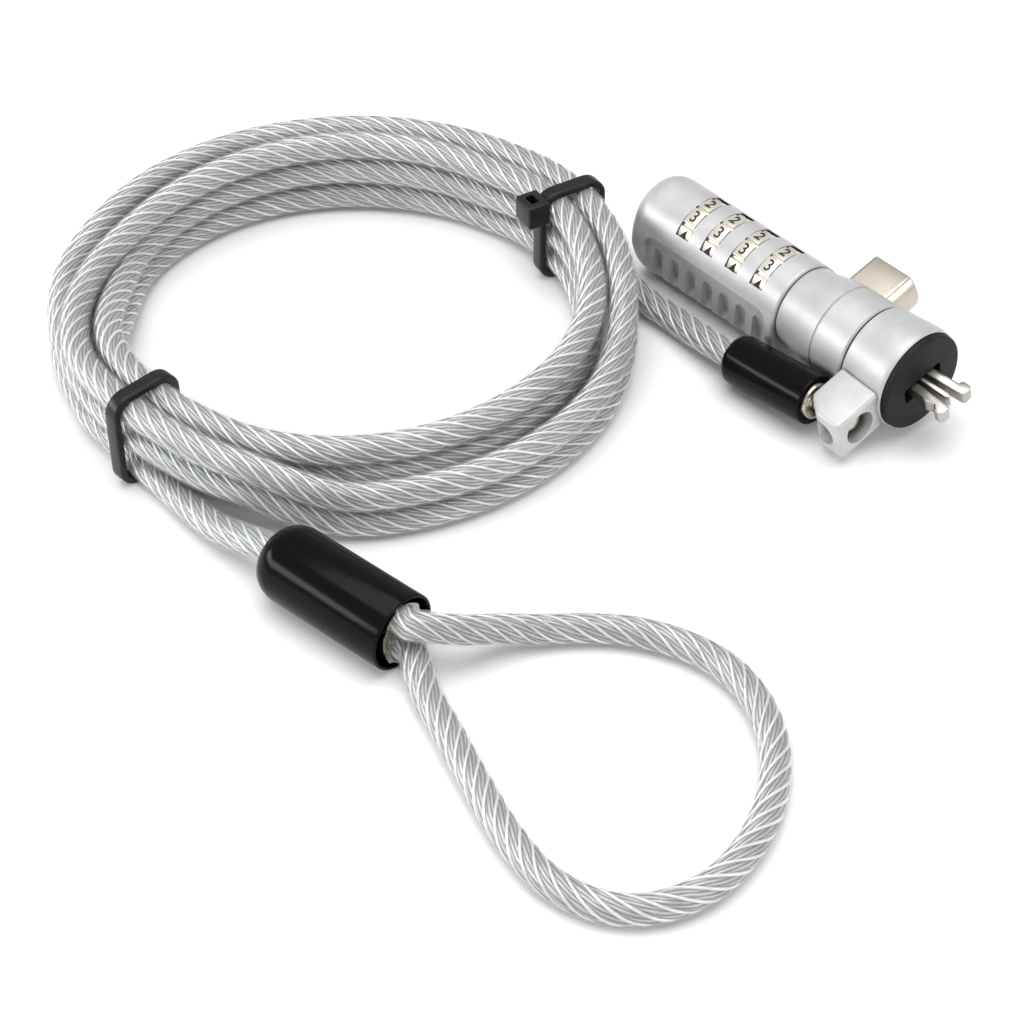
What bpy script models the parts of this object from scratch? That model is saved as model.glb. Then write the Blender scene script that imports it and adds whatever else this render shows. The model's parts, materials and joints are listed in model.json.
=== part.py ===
"""Laptop cable lock: a four-dial lock head with expanding jaws, a ball swivel, and a coiled steel cable.

Lengths below are millimetres; piece() turns each finished mesh into metres. The lock head is modelled in
its own frame: X runs along the barrel, zero on the face of the rubber pad and positive toward the jaws,
Y points to the button side and Z to the number windows. The empty "lock_head" rolls that frame by
HEAD_ROLL and stands it on the floor. The cable is modelled straight in the world frame.
"""

import math

import bmesh
import bpy
from mathutils import Matrix, Vector

MM = 0.001
SEAM = 0.15
GAP = 0.3
ROUND = 40

# Where the lock head lies: its own bounding box stands centred on the origin.
HEAD_ROLL = math.radians(15.0)
HEAD_X = 26.4
HEAD_Y = 1.94

# Barrel: a pear-shaped section, narrower above than below.
BODY_REAR = -60.0
BODY_FRONT = -25.6
BODY_HALF_WIDTH = 8.2
BODY_WAIST_Z = -2.0
BODY_TOP = 7.25
BODY_BOTTOM = -10.32
BODY_FRONT_BOTTOM = -8.9
BODY_SQUARENESS = 2.2
COVER_SPLIT_Z = -6.9
COVER_REAR = -57.4
COVER_FRONT = -27.6

# Dials and the code sleeves inside them.
DIAL_X = (-48.07, -42.42, -36.67, -30.97)
DIAL_AXIS_Z = 1.55
DIAL_RADIUS = 6.05
DIAL_WIDTH = 2.6
DIAL_BORE = 3.75
DIAL_FIRST_FACET = math.radians(34.0)
WINDOW_WIDTH = 2.85
WINDOW_HALF = 5.05
POCKET_RADIUS = 6.17
SLEEVE_RADIUS = 3.6
SLEEVE_BORE = 2.8
SLEEVE_LENGTH = 5.3
BARREL_BORE = 4.1
SPINDLE_REAR = -54.6
SPINDLE_FRONT = -20.3
SPINDLE_RADIUS = 1.5
SPINDLE_NOSE = 1.0
FIN_RADIUS = 2.5
SPRING_REAR = -57.6
CAP_REAR = -60.0
CAP_FRONT = -58.0
SCREW_RADIUS = 1.4

# Grip recess with its upright flutes, on both flanks.
GRIP_REAR = -56.0
GRIP_FRONT = -27.0
GRIP_TOP_Z = 2.65
GRIP_FLOOR_Y = 6.6
FLUTE_PITCH = 3.9
FLUTE_WIDTH = 1.7
FLUTES = 7

# Neck housing, swivelling collar and pad.
NECK_ROOT_RADIUS = 6.8
NECK_RADIUS = 7.95
NECK_FRONT = -10.35
SPIGOT_RADIUS = 6.7
SPIGOT_FRONT = -1.75
NECK_CAVITY = 5.9
COLLAR_BORE = 6.8
COLLAR_REAR = -10.0
COLLAR_FRONT = -1.2
COLLAR_REAR_RADIUS = 8.05
COLLAR_RADIUS = 8.6
PAD_RADIUS = 8.2
PAD_THICKNESS = 1.4

# Lug that carries the ball of the cable swivel.
LUG_REAR = -9.7
LUG_FRONT = -1.6
LUG_OUT = -16.8
LUG_TOP = 3.7
LUG_BOTTOM = -4.2
BALL = Vector((-5.7, -12.4, -0.25))
BALL_RADIUS = 3.0
BALL_SEAT = 3.2
BALL_SLOT = 2.5
LUG_HOLE = 2.8

# Push button.
BUTTON_X = -17.75
BUTTON_RADIUS = 5.1
BUTTON_HALF_HEIGHT = 3.6
BUTTON_FACE_Y = 12.8
BUTTON_INNER_Y = 4.4
SLIDER_TOP_Y = 1.65
SLIDER_HALF_WIDTH = 3.0
SLIDER_FRONT = -18.5
BUTTON_FIT = 0.15

# Jaws, for a 3 x 7 mm security slot.
JAW_PIN_X = -6.5
JAW_PIN_Y = 2.0
JAW_PIN_RADIUS = 0.6
JAW_HALF_THICKNESS = 1.15
JAW_HEAD_Y = 3.6
JAW_TIP_X = 7.2
BLADE_HALF_WIDTH = 0.45
BLADE_TIP_X = 5.7
CHANNEL_HALF_WIDTH = 4.2
CHANNEL_HALF_HEIGHT = 1.7

# Cable and its coil.
CABLE_RADIUS = 2.5
END_STEP = 1.5
COIL_CENTRE = Vector((-48.6, -52.6, 0.0))
COIL_INNER = 37.0
COIL_OUTER = 46.9
COIL_BOTTOM = 1.4
COIL_TOP = 15.9
TIE_ANGLES = {"cable_tie_right": 80.0, "cable_tie_left": 274.0}
TIE_BLOCK_RISE = {"cable_tie_right": 11.4, "cable_tie_left": 0.0}
TIE_BLOCK_DEPTH = 3.7
TIE_BLOCK_HEIGHT = 4.4
TIE_WIDTH = 2.5
TIE_THICKNESS = 1.1

# Fittings on the cable, measured along their own axes from the ball or from the rounded end.
LOCK_SLEEVE_END = Vector((-4.0, -10.6, 4.3))
LOCK_SLEEVE_FROM = 5.8
LOCK_SLEEVE_TO = 23.8
LOCK_SLEEVE_RADIUS = 4.1
LOCK_FERRULE_FROM = 4.7
LOCK_FERRULE_TO = 16.0
LOCK_FERRULE_RADIUS = 3.1
LOOP_SLEEVE_TIP = Vector((-12.6, -94.9, 6.15))
LOOP_SLEEVE_MOUTH = Vector((12.6, -91.0, 6.15))
LOOP_SLEEVE_RADIUS = 6.15
LOOP_SLEEVE_WALL = 0.6
LOOP_CABLE_SPACING = 5.3

# Routes of the cable that lies free, point by point.
LEAD_ROUTE = [
    (-11.5, -10.2, 3.3),
    (-17.4, -9.7, 2.7),
    (-24.3, -9.6, 2.5),
]
LEAD_OUT_ROUTE = [
    (-25.2, -96.7, 3.6),
    (-20.3, -96.1, 4.7),
]
LOOP_ROUTE = [
    (18.0, -84.5, 6.6),
    (19.8, -79.0, 4.6),
    (22.6, -73.4, 2.9),
    (26.7, -67.7, 2.5),
    (31.8, -63.0, 2.5),
    (38.2, -59.7, 2.5),
    (45.0, -58.3, 2.5),
    (52.4, -59.4, 2.5),
    (59.8, -63.3, 2.5),
    (66.0, -69.6, 2.5),
    (70.4, -77.6, 2.5),
    (72.3, -86.6, 2.5),
    (70.6, -94.8, 2.5),
    (65.6, -100.6, 2.5),
    (57.4, -103.1, 2.5),
    (47.8, -102.0, 2.5),
    (38.0, -99.2, 2.5),
    (28.6, -96.2, 2.5),
    (20.9, -93.9, 2.7),
]


def clear_scene():
    for obj in list(bpy.data.objects):
        bpy.data.objects.remove(obj, do_unlink=True)


def material(name, colour, roughness, metallic):
    made = bpy.data.materials.new(name)
    made.use_nodes = True
    shader = made.node_tree.nodes["Principled BSDF"]
    shader.inputs["Base Color"].default_value = (*colour, 1.0)
    shader.inputs["Roughness"].default_value = roughness
    shader.inputs["Metallic"].default_value = metallic
    made.diffuse_color = (*colour, 1.0)
    return made


FINISHES = {
    "satin_silver": ((0.72, 0.72, 0.73), 0.38, 0.85),
    "nickel_button": ((0.62, 0.57, 0.50), 0.2, 1.0),
    "dial_nickel": ((0.66, 0.62, 0.52), 0.3, 1.0),
    "steel": ((0.55, 0.54, 0.52), 0.35, 1.0),
    "spring_steel": ((0.45, 0.46, 0.48), 0.3, 1.0),
    "brass": ((0.70, 0.52, 0.25), 0.35, 1.0),
    "black_rubber": ((0.012, 0.012, 0.013), 0.75, 0.0),
    "black_vinyl": ((0.008, 0.008, 0.009), 0.2, 0.0),
    "black_nylon": ((0.015, 0.015, 0.016), 0.45, 0.0),
    "ferrule_nickel": ((0.62, 0.58, 0.52), 0.25, 1.0),
    "coated_cable": ((0.62, 0.64, 0.65), 0.35, 0.2),
}


def piece(name, bm, finish, parent=None, origin=(0.0, 0.0, 0.0), sharp_angle=35.0):
    """One sub-part from a mesh in millimetres, with its object origin at the given point of that mesh."""
    origin = Vector(origin)
    bmesh.ops.translate(bm, verts=bm.verts, vec=-origin)
    bmesh.ops.scale(bm, verts=bm.verts, vec=(MM, MM, MM))
    mesh = bpy.data.meshes.new(name)
    bm.to_mesh(mesh)
    bm.free()
    mesh.shade_smooth()
    mesh.set_sharp_from_angle(angle=math.radians(sharp_angle))
    obj = bpy.data.objects.new(name, mesh)
    bpy.context.scene.collection.objects.link(obj)
    obj.location = origin * MM
    obj.parent = parent
    if finish:
        colour, roughness, metallic = FINISHES[finish]
        mesh.materials.append(material(name, colour, roughness, metallic))
    return obj


def empty(name, location, parent=None):
    obj = bpy.data.objects.new(name, None)
    obj.empty_display_size = 0.004
    bpy.context.scene.collection.objects.link(obj)
    obj.location = Vector(location) * MM
    obj.parent = parent
    return obj


def boolean(target, tool, operation="DIFFERENCE"):
    """Cuts or joins with a helper that the model itself doesn't show."""
    tool.hide_render = True
    tool.display_type = "WIRE"
    modifier = target.modifiers.new(tool.name, "BOOLEAN")
    modifier.operation = operation
    modifier.solver = "EXACT"
    modifier.object = tool


def bevel(obj, width, segments=2, angle=40.0):
    modifier = obj.modifiers.new("soft_edges", "BEVEL")
    modifier.width = width * MM
    modifier.segments = segments
    modifier.limit_method = "ANGLE"
    modifier.angle_limit = math.radians(angle)
    modifier.harden_normals = False


def turned(profile, segments=ROUND, centre=(0.0, 0.0)):
    """Solid turned about a line along X, from a closed outline of (x, radius) points."""
    bm = bmesh.new()
    centre_y, centre_z = centre
    corners = [bm.verts.new((x, centre_y, centre_z + radius)) for x, radius in profile]
    outline = []
    for index, (_, radius) in enumerate(profile):
        following = (index + 1) % len(profile)
        if radius > 0.0 or profile[following][1] > 0.0:
            outline.append(bm.edges.new((corners[index], corners[following])))
    bmesh.ops.spin(
        bm,
        geom=corners + outline,
        cent=(0.0, centre_y, centre_z),
        axis=(1.0, 0.0, 0.0),
        angle=2.0 * math.pi,
        steps=segments,
        use_merge=True,
    )
    return cleaned(bm)


def cleaned(bm):
    bmesh.ops.remove_doubles(bm, verts=bm.verts, dist=0.0001)
    bmesh.ops.recalc_face_normals(bm, faces=bm.faces)
    return bm


def prism(outline, axis, low, high):
    """Closed outline pushed along one axis. Its points are the other two coordinates, in X, Y, Z order."""
    bm = bmesh.new()
    corners = []
    for first, second in outline:
        point = [first, second]
        point.insert(axis, low)
        corners.append(bm.verts.new(point))
    face = bm.faces.new(corners)
    pushed = bmesh.ops.extrude_face_region(bm, geom=[face])
    step = [0.0, 0.0, 0.0]
    step[axis] = high - low
    moved = [item for item in pushed["geom"] if isinstance(item, bmesh.types.BMVert)]
    bmesh.ops.translate(bm, verts=moved, vec=step)
    return cleaned(bm)


def box(low, high):
    outline = [(low[0], low[1]), (high[0], low[1]), (high[0], high[1]), (low[0], high[1])]
    return prism(outline, 2, low[2], high[2])


def arc(centre, radius, start, end, steps):
    """Points on an arc, angles in degrees, both ends included."""
    points = []
    for index in range(steps + 1):
        angle = math.radians(start + (end - start) * index / steps)
        points.append((centre[0] + radius * math.cos(angle), centre[1] + radius * math.sin(angle)))
    return points


def rounded_box_outline(low, high, radius, steps=3):
    """Rectangle with round corners, counter-clockwise from its lower right corner."""
    corners = [
        (high[0] - radius, low[1] + radius, 270.0),
        (high[0] - radius, high[1] - radius, 0.0),
        (low[0] + radius, high[1] - radius, 90.0),
        (low[0] + radius, low[1] + radius, 180.0),
    ]
    points = []
    for x, y, start in corners:
        points += arc((x, y), radius, start, start + 90.0, steps)
    return points


def cylinder(start, end, radius, segments=24):
    """Cylinder between two points."""
    start = Vector(start)
    along = Vector(end) - start
    bm = turned([(0.0, 0.0), (0.0, radius), (along.length, radius), (along.length, 0.0)], segments)
    turn = Vector((1.0, 0.0, 0.0)).rotation_difference(along).to_matrix().to_4x4()
    bmesh.ops.transform(bm, matrix=Matrix.Translation(start) @ turn, verts=bm.verts)
    return bm


def body_outline(x, inset=0.0, steps=ROUND):
    """(y, z) points of the barrel's pear-shaped section at x, drawn in by the inset."""
    along = (x - BODY_REAR) / (BODY_FRONT - BODY_REAR)
    bottom = BODY_BOTTOM + (BODY_FRONT_BOTTOM - BODY_BOTTOM) * along
    power = 2.0 / BODY_SQUARENESS
    points = []
    for index in range(steps):
        angle = 2.0 * math.pi * index / steps
        across, up = math.cos(angle), math.sin(angle)
        height = (BODY_TOP - BODY_WAIST_Z) if up > 0.0 else (BODY_WAIST_Z - bottom)
        y = (BODY_HALF_WIDTH - inset) * math.copysign(abs(across) ** power, across)
        z = BODY_WAIST_Z + (height - inset) * math.copysign(abs(up) ** power, up)
        points.append((y, z))
    return points


def lofted(stations):
    """Solid skinned through rings of equal length, given as (x, [(y, z), ...])."""
    bm = bmesh.new()
    rings = [[bm.verts.new((x, y, z)) for y, z in outline] for x, outline in stations]
    for ring, following in zip(rings, rings[1:]):
        for index in range(len(ring)):
            after = (index + 1) % len(ring)
            bm.faces.new((ring[index], ring[after], following[after], following[index]))
    bm.faces.new(rings[0])
    bm.faces.new(rings[-1])
    return cleaned(bm)


def body_solid(inset=0.0):
    """The barrel's outer form with a rounded rear edge and a softened front edge."""
    stations = [(BODY_REAR, 1.7), (-59.6, 0.75), (-59.0, 0.25), (-58.0, 0.0), (-26.2, 0.0), (BODY_FRONT, 0.5)]
    return lofted([(x, body_outline(x, inset + drawn_in)) for x, drawn_in in stations])


def resting_height():
    """Height of the barrel's axis when the rolled section touches the floor."""
    sine, cosine = math.sin(HEAD_ROLL), math.cos(HEAD_ROLL)
    return -min(y * sine + z * cosine for y, z in body_outline(-58.0))


def helix(centre, radius, wire, start_x, end_x, turns, steps=12):
    """Round wire wound about a line along X, as one closed tube."""
    rings = []
    sides = 6
    total = int(turns * steps)
    bm = bmesh.new()
    for index in range(total + 1):
        angle = 2.0 * math.pi * turns * index / total
        x = start_x + (end_x - start_x) * index / total
        outward = Vector((0.0, math.cos(angle), math.sin(angle)))
        middle = Vector((x, centre[0], centre[1])) + outward * radius
        ring = []
        for side in range(sides):
            turn = 2.0 * math.pi * side / sides
            offset = outward * (wire * math.cos(turn)) + Vector((wire * math.sin(turn), 0.0, 0.0))
            ring.append(bm.verts.new(middle + offset))
        rings.append(ring)
    for ring, following in zip(rings, rings[1:]):
        for side in range(sides):
            after = (side + 1) % sides
            bm.faces.new((ring[side], ring[after], following[after], following[side]))
    bm.faces.new(rings[0])
    bm.faces.new(rings[-1])
    return cleaned(bm)


def make_shell(head):
    shell = piece("barrel_shell", body_solid(), "satin_silver", head)
    cuts = []
    cuts.append(("cut_bore", cylinder((-70.0, 0.0, DIAL_AXIS_Z), (-20.0, 0.0, DIAL_AXIS_Z), BARREL_BORE, 32)))
    cuts.append(("cut_socket", cylinder((-28.5, 0.0, 0.0), (-20.0, 0.0, 0.0), 5.05, 32)))
    cuts.append(
        ("cut_belly", box((COVER_REAR, -12.0, -14.0), (COVER_FRONT, 12.0, COVER_SPLIT_Z)))
    )
    cuts.append(("cut_leaf", box((-53.0, -1.3, COVER_SPLIT_Z - 1.0), (-28.9, 1.3, -4.2))))
    for number, x in enumerate(DIAL_X, 1):
        half = WINDOW_WIDTH / 2.0
        pocket = [(WINDOW_HALF, 14.0), (-WINDOW_HALF, 14.0)]
        start = math.degrees(math.acos(-WINDOW_HALF / POCKET_RADIUS))
        pocket += arc((0.0, DIAL_AXIS_Z), POCKET_RADIUS, start, 180.0, 4)
        pocket += [(-POCKET_RADIUS, COVER_SPLIT_Z - 1.0), (POCKET_RADIUS, COVER_SPLIT_Z - 1.0)]
        pocket += arc((0.0, DIAL_AXIS_Z), POCKET_RADIUS, 0.0, 180.0 - start, 4)
        cuts.append((f"cut_dial_{number}", prism(pocket, 0, x - half, x + half)))
    for side in (-1.0, 1.0):
        label = "left" if side < 0.0 else "right"
        wedge = [
            (side * GRIP_FLOOR_Y, GRIP_TOP_Z),
            (side * GRIP_FLOOR_Y, 0.7),
            (side * (BODY_HALF_WIDTH + 0.2), -5.6),
            (side * 12.0, -5.6),
            (side * 12.0, GRIP_TOP_Z),
        ]
        cuts.append((f"cut_grip_{label}", prism(wedge, 0, GRIP_REAR, GRIP_FRONT)))
        for number in range(FLUTES):
            x = GRIP_FRONT - 2.6 - FLUTE_PITCH * number
            low = min(side * GRIP_FLOOR_Y, side * 12.0)
            high = max(side * GRIP_FLOOR_Y, side * 12.0)
            outline = rounded_box_outline((x - FLUTE_WIDTH / 2.0, -6.2), (x + FLUTE_WIDTH / 2.0, 0.9), 0.8, 3)
            cuts.append((f"cut_flute_{label}_{number}", prism(outline, 1, low, high)))
    for name, bm in cuts:
        boolean(shell, piece(name, bm, None, head))
    return shell


def make_bottom_cover(head):
    cover = piece("bottom_cover", body_solid(), "satin_silver", head)
    keep = box((COVER_REAR + SEAM, -12.0, -14.0), (COVER_FRONT - SEAM, 12.0, COVER_SPLIT_Z - SEAM))
    boolean(cover, piece("cut_cover", keep, None, head), "INTERSECT")


def make_rear(head):
    centre = (0.0, DIAL_AXIS_Z)
    outer = BARREL_BORE - SEAM
    bore = SCREW_RADIUS + 0.2
    cap = [
        (CAP_REAR, bore),
        (CAP_REAR, outer - GAP),
        (CAP_REAR + GAP, outer),
        (CAP_FRONT, outer),
        (CAP_FRONT, bore),
    ]
    piece("rear_cap", turned(cap, 32, centre), "satin_silver", head, (CAP_REAR, 0.0, DIAL_AXIS_Z))
    screw = [
        (CAP_REAR + 0.1, 0.0),
        (CAP_REAR + 0.1, SCREW_RADIUS - 0.2),
        (CAP_REAR + 0.3, SCREW_RADIUS),
        (CAP_FRONT + 0.2, SCREW_RADIUS),
        (CAP_FRONT + 0.2, 0.0),
    ]
    screw = piece("reset_screw", turned(screw, 20, centre), "nickel_button", head, (CAP_REAR, 0.0, DIAL_AXIS_Z))
    slot = box((CAP_REAR - 1.0, -0.25, DIAL_AXIS_Z - 2.0), (CAP_REAR + 0.7, 0.25, DIAL_AXIS_Z + 2.0))
    boolean(screw, piece("cut_screw_slot", slot, None, head))


def dial_outline():
    """Ten flats with a narrow groove along each corner, as (y, z) points about the dial's axis."""
    half_flat = math.radians(14.5)
    half_groove = math.radians(2.2)
    groove_radius = DIAL_RADIUS - 0.5
    flat_radius = DIAL_RADIUS * math.cos(math.radians(18.0)) / math.cos(half_flat)
    points = []
    for facet in range(10):
        middle = DIAL_FIRST_FACET + math.radians(36.0) * facet
        corner = middle + math.radians(18.0)
        for angle, radius in (
            (middle - half_flat, flat_radius),
            (middle + half_flat, flat_radius),
            (corner - half_groove, groove_radius),
            (corner + half_groove, groove_radius),
        ):
            points.append((radius * math.cos(angle), DIAL_AXIS_Z + radius * math.sin(angle)))
    return points


def make_dials(head):
    half = DIAL_WIDTH / 2.0
    for number, x in enumerate(DIAL_X, 1):
        origin = (x, 0.0, DIAL_AXIS_Z)
        dial = piece(f"dial_{number}", prism(dial_outline(), 0, x - half, x + half), "dial_nickel", head, origin)
        bore = cylinder((x - 4.0, 0.0, DIAL_AXIS_Z), (x + 4.0, 0.0, DIAL_AXIS_Z), DIAL_BORE, 24)
        boolean(dial, piece(f"cut_dial_bore_{number}", bore, None, head))
        sleeve = [
            (x - SLEEVE_LENGTH / 2.0, SLEEVE_BORE),
            (x - SLEEVE_LENGTH / 2.0, SLEEVE_RADIUS),
            (x + SLEEVE_LENGTH / 2.0, SLEEVE_RADIUS),
            (x + SLEEVE_LENGTH / 2.0, SLEEVE_BORE),
        ]
        sleeve = turned(sleeve, 24, (0.0, DIAL_AXIS_Z))
        sleeve = piece(f"code_sleeve_{number}", sleeve, "brass", head, origin)
        gate = box((x - 3.0, -0.6, DIAL_AXIS_Z - 3.3), (x + 3.0, 0.6, DIAL_AXIS_Z))
        boolean(sleeve, piece(f"cut_gate_{number}", gate, None, head))


def make_detent(head):
    low, high = -6.5, -6.2
    outline = [(-52.6, low), (-29.2, low), (-29.2, high)]
    for x in reversed(DIAL_X):
        outline += [(x + 1.2, high), (x + 0.35, -4.8), (x - 0.35, -4.8), (x - 1.2, high)]
    outline.append((-52.6, high))
    piece("detent_spring", prism(outline, 1, -1.0, 1.0), "spring_steel", head)


def make_spindle(head):
    """Rod through the code sleeves, with one gate fin for each and a shoulder for its spring."""
    shoulder = (SPINDLE_REAR + 1.4, SPINDLE_REAR + 2.0)
    profile = [(SPINDLE_REAR, 0.0), (SPINDLE_REAR, SPINDLE_RADIUS), (shoulder[0], SPINDLE_RADIUS)]
    profile += [(shoulder[0], SLEEVE_RADIUS - 0.4), (shoulder[1], SLEEVE_RADIUS - 0.4)]
    profile.append((shoulder[1], SPINDLE_RADIUS))
    for x in DIAL_X:
        fin = [(x + 0.8, SPINDLE_RADIUS), (x + 0.8, FIN_RADIUS), (x + 1.8, FIN_RADIUS), (x + 1.8, SPINDLE_RADIUS)]
        profile += fin
    nose = SPINDLE_FRONT - 3.0
    profile += [(nose, SPINDLE_RADIUS), (nose, SPINDLE_NOSE), (SPINDLE_FRONT, SPINDLE_NOSE), (SPINDLE_FRONT, 0.0)]
    spindle = turned(profile, 14, (0.0, DIAL_AXIS_Z))
    piece("spindle", spindle, "steel", head, (SPINDLE_REAR, 0.0, DIAL_AXIS_Z))
    spring = helix((0.0, DIAL_AXIS_Z), 2.5, 0.3, SPRING_REAR, shoulder[0] - 0.4, 3.5, 10)
    piece("spindle_spring", spring, "spring_steel", head, (SPRING_REAR, 0.0, DIAL_AXIS_Z))


def make_neck(head):
    profile = [
        (-28.2, 4.0),
        (-28.2, 4.9),
        (-25.45, 4.9),
        (-25.45, NECK_ROOT_RADIUS),
        (-24.8, NECK_ROOT_RADIUS + 0.05),
        (-21.5, 7.35),
        (-18.0, 7.82),
        (-17.1, 7.88),
        (-16.9, 7.7),
        (-16.7, 7.88),
        (NECK_FRONT - 0.3, NECK_RADIUS),
        (NECK_FRONT, NECK_RADIUS - 0.2),
        (NECK_FRONT, SPIGOT_RADIUS),
        (SPIGOT_FRONT, SPIGOT_RADIUS),
        (SPIGOT_FRONT, 0.0),
        (-10.9, 0.0),
        (-10.9, NECK_CAVITY),
        (-24.9, NECK_CAVITY),
        (-24.9, 4.0),
    ]
    neck = piece("neck_housing", turned(profile), "satin_silver", head)
    channel = box(
        (-11.3, -CHANNEL_HALF_WIDTH, -CHANNEL_HALF_HEIGHT), (-1.0, CHANNEL_HALF_WIDTH, CHANNEL_HALF_HEIGHT)
    )
    boolean(neck, piece("cut_channel", channel, None, head))
    for side, label in ((-1.0, "left"), (1.0, "right")):
        y = side * JAW_PIN_Y
        hole = cylinder((JAW_PIN_X, y, -3.4), (JAW_PIN_X, y, 3.4), JAW_PIN_RADIUS + SEAM, 16)
        boolean(neck, piece(f"cut_pin_{label}", hole, None, head))
    hole = prism(button_outline(BUTTON_FIT), 1, 3.0, 14.0)
    boolean(neck, piece("cut_button_hole", hole, None, head))


def button_outline(grow=0.0):
    """Round with two flats, as (x, z) points."""
    radius = BUTTON_RADIUS + grow
    flat = BUTTON_HALF_HEIGHT + grow
    reach = math.degrees(math.asin(flat / radius))
    points = arc((BUTTON_X, 0.0), radius, -reach, reach, 8)
    points += arc((BUTTON_X, 0.0), radius, 180.0 - reach, 180.0 + reach, 8)
    return points


def make_button(head):
    outline = button_outline()
    origin = (BUTTON_X, BUTTON_FACE_Y, 0.0)
    button = piece("push_button", prism(outline, 1, BUTTON_INNER_Y, BUTTON_FACE_Y), "nickel_button", head, origin)
    bevel(button, 0.35)
    leg = [(-17.2, BUTTON_INNER_Y + 1.0), (-17.2, 1.02), (-15.28, -0.9), (-13.6, -0.9)]
    leg.append((-13.6, BUTTON_INNER_Y + 1.0))
    boolean(button, piece("join_button_leg", prism(leg, 2, -3.3, -1.6), None, head), "UNION")


def make_slider(head):
    """Block on the end of the spindle: its ramp turns the button's push into the rearward pull."""
    slider = box((SLIDER_FRONT - 3.3, -SLIDER_HALF_WIDTH, -3.4), (SLIDER_FRONT, SLIDER_TOP_Y, 3.25))
    slider = piece("latch_slider", slider, "steel", head, (SLIDER_FRONT, 0.0, 0.0))
    tooth = [(-19.5, -3.0), (-15.0, -3.0), (-15.0, -1.6), (-18.2, 1.6), (-19.5, 1.6)]
    boolean(slider, piece("join_tooth", prism(tooth, 2, -3.4, -1.55), None, head), "UNION")
    rod_hole = cylinder((-23.0, 0.0, DIAL_AXIS_Z), (SPINDLE_FRONT + 0.2, 0.0, DIAL_AXIS_Z), SPINDLE_NOSE + SEAM, 20)
    boolean(slider, piece("cut_rod_hole", rod_hole, None, head))
    slot = box((-19.6, -0.6, -1.25), (-17.0, 0.6, 1.25))
    boolean(slider, piece("cut_blade_slot", slot, None, head))


def make_jaws(head):
    tail, root = -8.6, -5.0
    for side, label in ((1.0, "right"), (-1.0, "left")):
        outline = [
            (tail, 0.75),
            (root, 0.75),
            (JAW_TIP_X, 1.5),
            (JAW_TIP_X, JAW_HEAD_Y - 0.25),
            (JAW_TIP_X - 0.25, JAW_HEAD_Y),
            (JAW_TIP_X - 1.9, JAW_HEAD_Y),
            (JAW_TIP_X - 1.9, 2.75),
            (-2.0, 2.6),
            (-4.6, 3.4),
            (tail, 3.4),
        ]
        outline = [(x, side * y) for x, y in outline]
        low, high = -JAW_HALF_THICKNESS, JAW_HALF_THICKNESS
        pin = (JAW_PIN_X, side * JAW_PIN_Y, 0.0)
        jaw = piece(f"jaw_{label}", prism(outline, 2, low, high), "steel", head, pin)
        bevel(jaw, 0.15, 1)
        hole = cylinder((pin[0], pin[1], -2.0), (pin[0], pin[1], 2.0), JAW_PIN_RADIUS + SEAM, 16)
        boolean(jaw, piece(f"cut_jaw_{label}", hole, None, head))
        rod = cylinder((pin[0], pin[1], -3.1), (pin[0], pin[1], 3.1), JAW_PIN_RADIUS, 16)
        piece(f"jaw_pin_{label}", rod, "steel", head, pin)
    outline = [
        (-19.4, BLADE_HALF_WIDTH),
        (-19.4, -BLADE_HALF_WIDTH),
        (BLADE_TIP_X - 0.6, -BLADE_HALF_WIDTH),
        (BLADE_TIP_X, -0.1),
        (BLADE_TIP_X, 0.1),
        (BLADE_TIP_X - 0.6, BLADE_HALF_WIDTH),
    ]
    piece("centre_blade", prism(outline, 2, -1.1, 1.1), "steel", head, (-19.4, 0.0, 0.0))


def make_collar(head):
    profile = [
        (COLLAR_REAR, COLLAR_BORE),
        (COLLAR_REAR, COLLAR_REAR_RADIUS - 0.15),
        (COLLAR_REAR + 0.2, COLLAR_REAR_RADIUS),
        (-6.0, 8.4),
        (-3.0, COLLAR_RADIUS),
        (-1.8, COLLAR_RADIUS - 0.04),
        (COLLAR_FRONT - 0.15, COLLAR_RADIUS - 0.15),
        (COLLAR_FRONT, PAD_RADIUS + 0.1),
        (SPIGOT_FRONT + 0.05, PAD_RADIUS + 0.1),
        (SPIGOT_FRONT + 0.05, COLLAR_BORE),
    ]
    collar = piece("swivel_collar", turned(profile), "satin_silver", head)
    lug = [
        (LUG_FRONT, -8.35),
        (LUG_FRONT - 1.4, -7.3),
        (LUG_REAR, -7.3),
        (LUG_REAR, -14.1),
        (-6.3, LUG_OUT),
        (LUG_FRONT, LUG_OUT),
    ]
    lug = piece("join_lug", prism(lug, 2, LUG_BOTTOM, LUG_TOP), None, head)
    bevel(lug, 0.5)
    boolean(collar, lug, "UNION")
    sphere = bmesh.new()
    bmesh.ops.create_uvsphere(sphere, u_segments=24, v_segments=12, radius=BALL_SEAT)
    askew = Matrix.Rotation(math.radians(11.0), 4, Vector((1.0, 0.4, 0.7)))
    bmesh.ops.transform(sphere, matrix=Matrix.Translation(BALL) @ askew, verts=sphere.verts)
    boolean(collar, piece("cut_seat", sphere, None, head))
    window = cylinder(BALL, BALL + Vector((9.0, 0.0, -0.1)), LUG_HOLE, 24)
    boolean(collar, piece("cut_lug_window", window, None, head))
    for label, way in (("rear", Vector((-9.0, 0.0, 0.0))), ("side", Vector((0.0, -9.0, 0.0)))):
        boolean(collar, piece(f"cut_slot_{label}", cylinder(BALL, BALL + way, BALL_SLOT, 24), None, head))
    half = 0.9 * BALL_SLOT
    swept = box(BALL + Vector((-9.1, -9.1, -half)), BALL + Vector((0.4, 0.4, half)))
    boolean(collar, piece("cut_slot_swept", swept, None, head))


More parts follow.
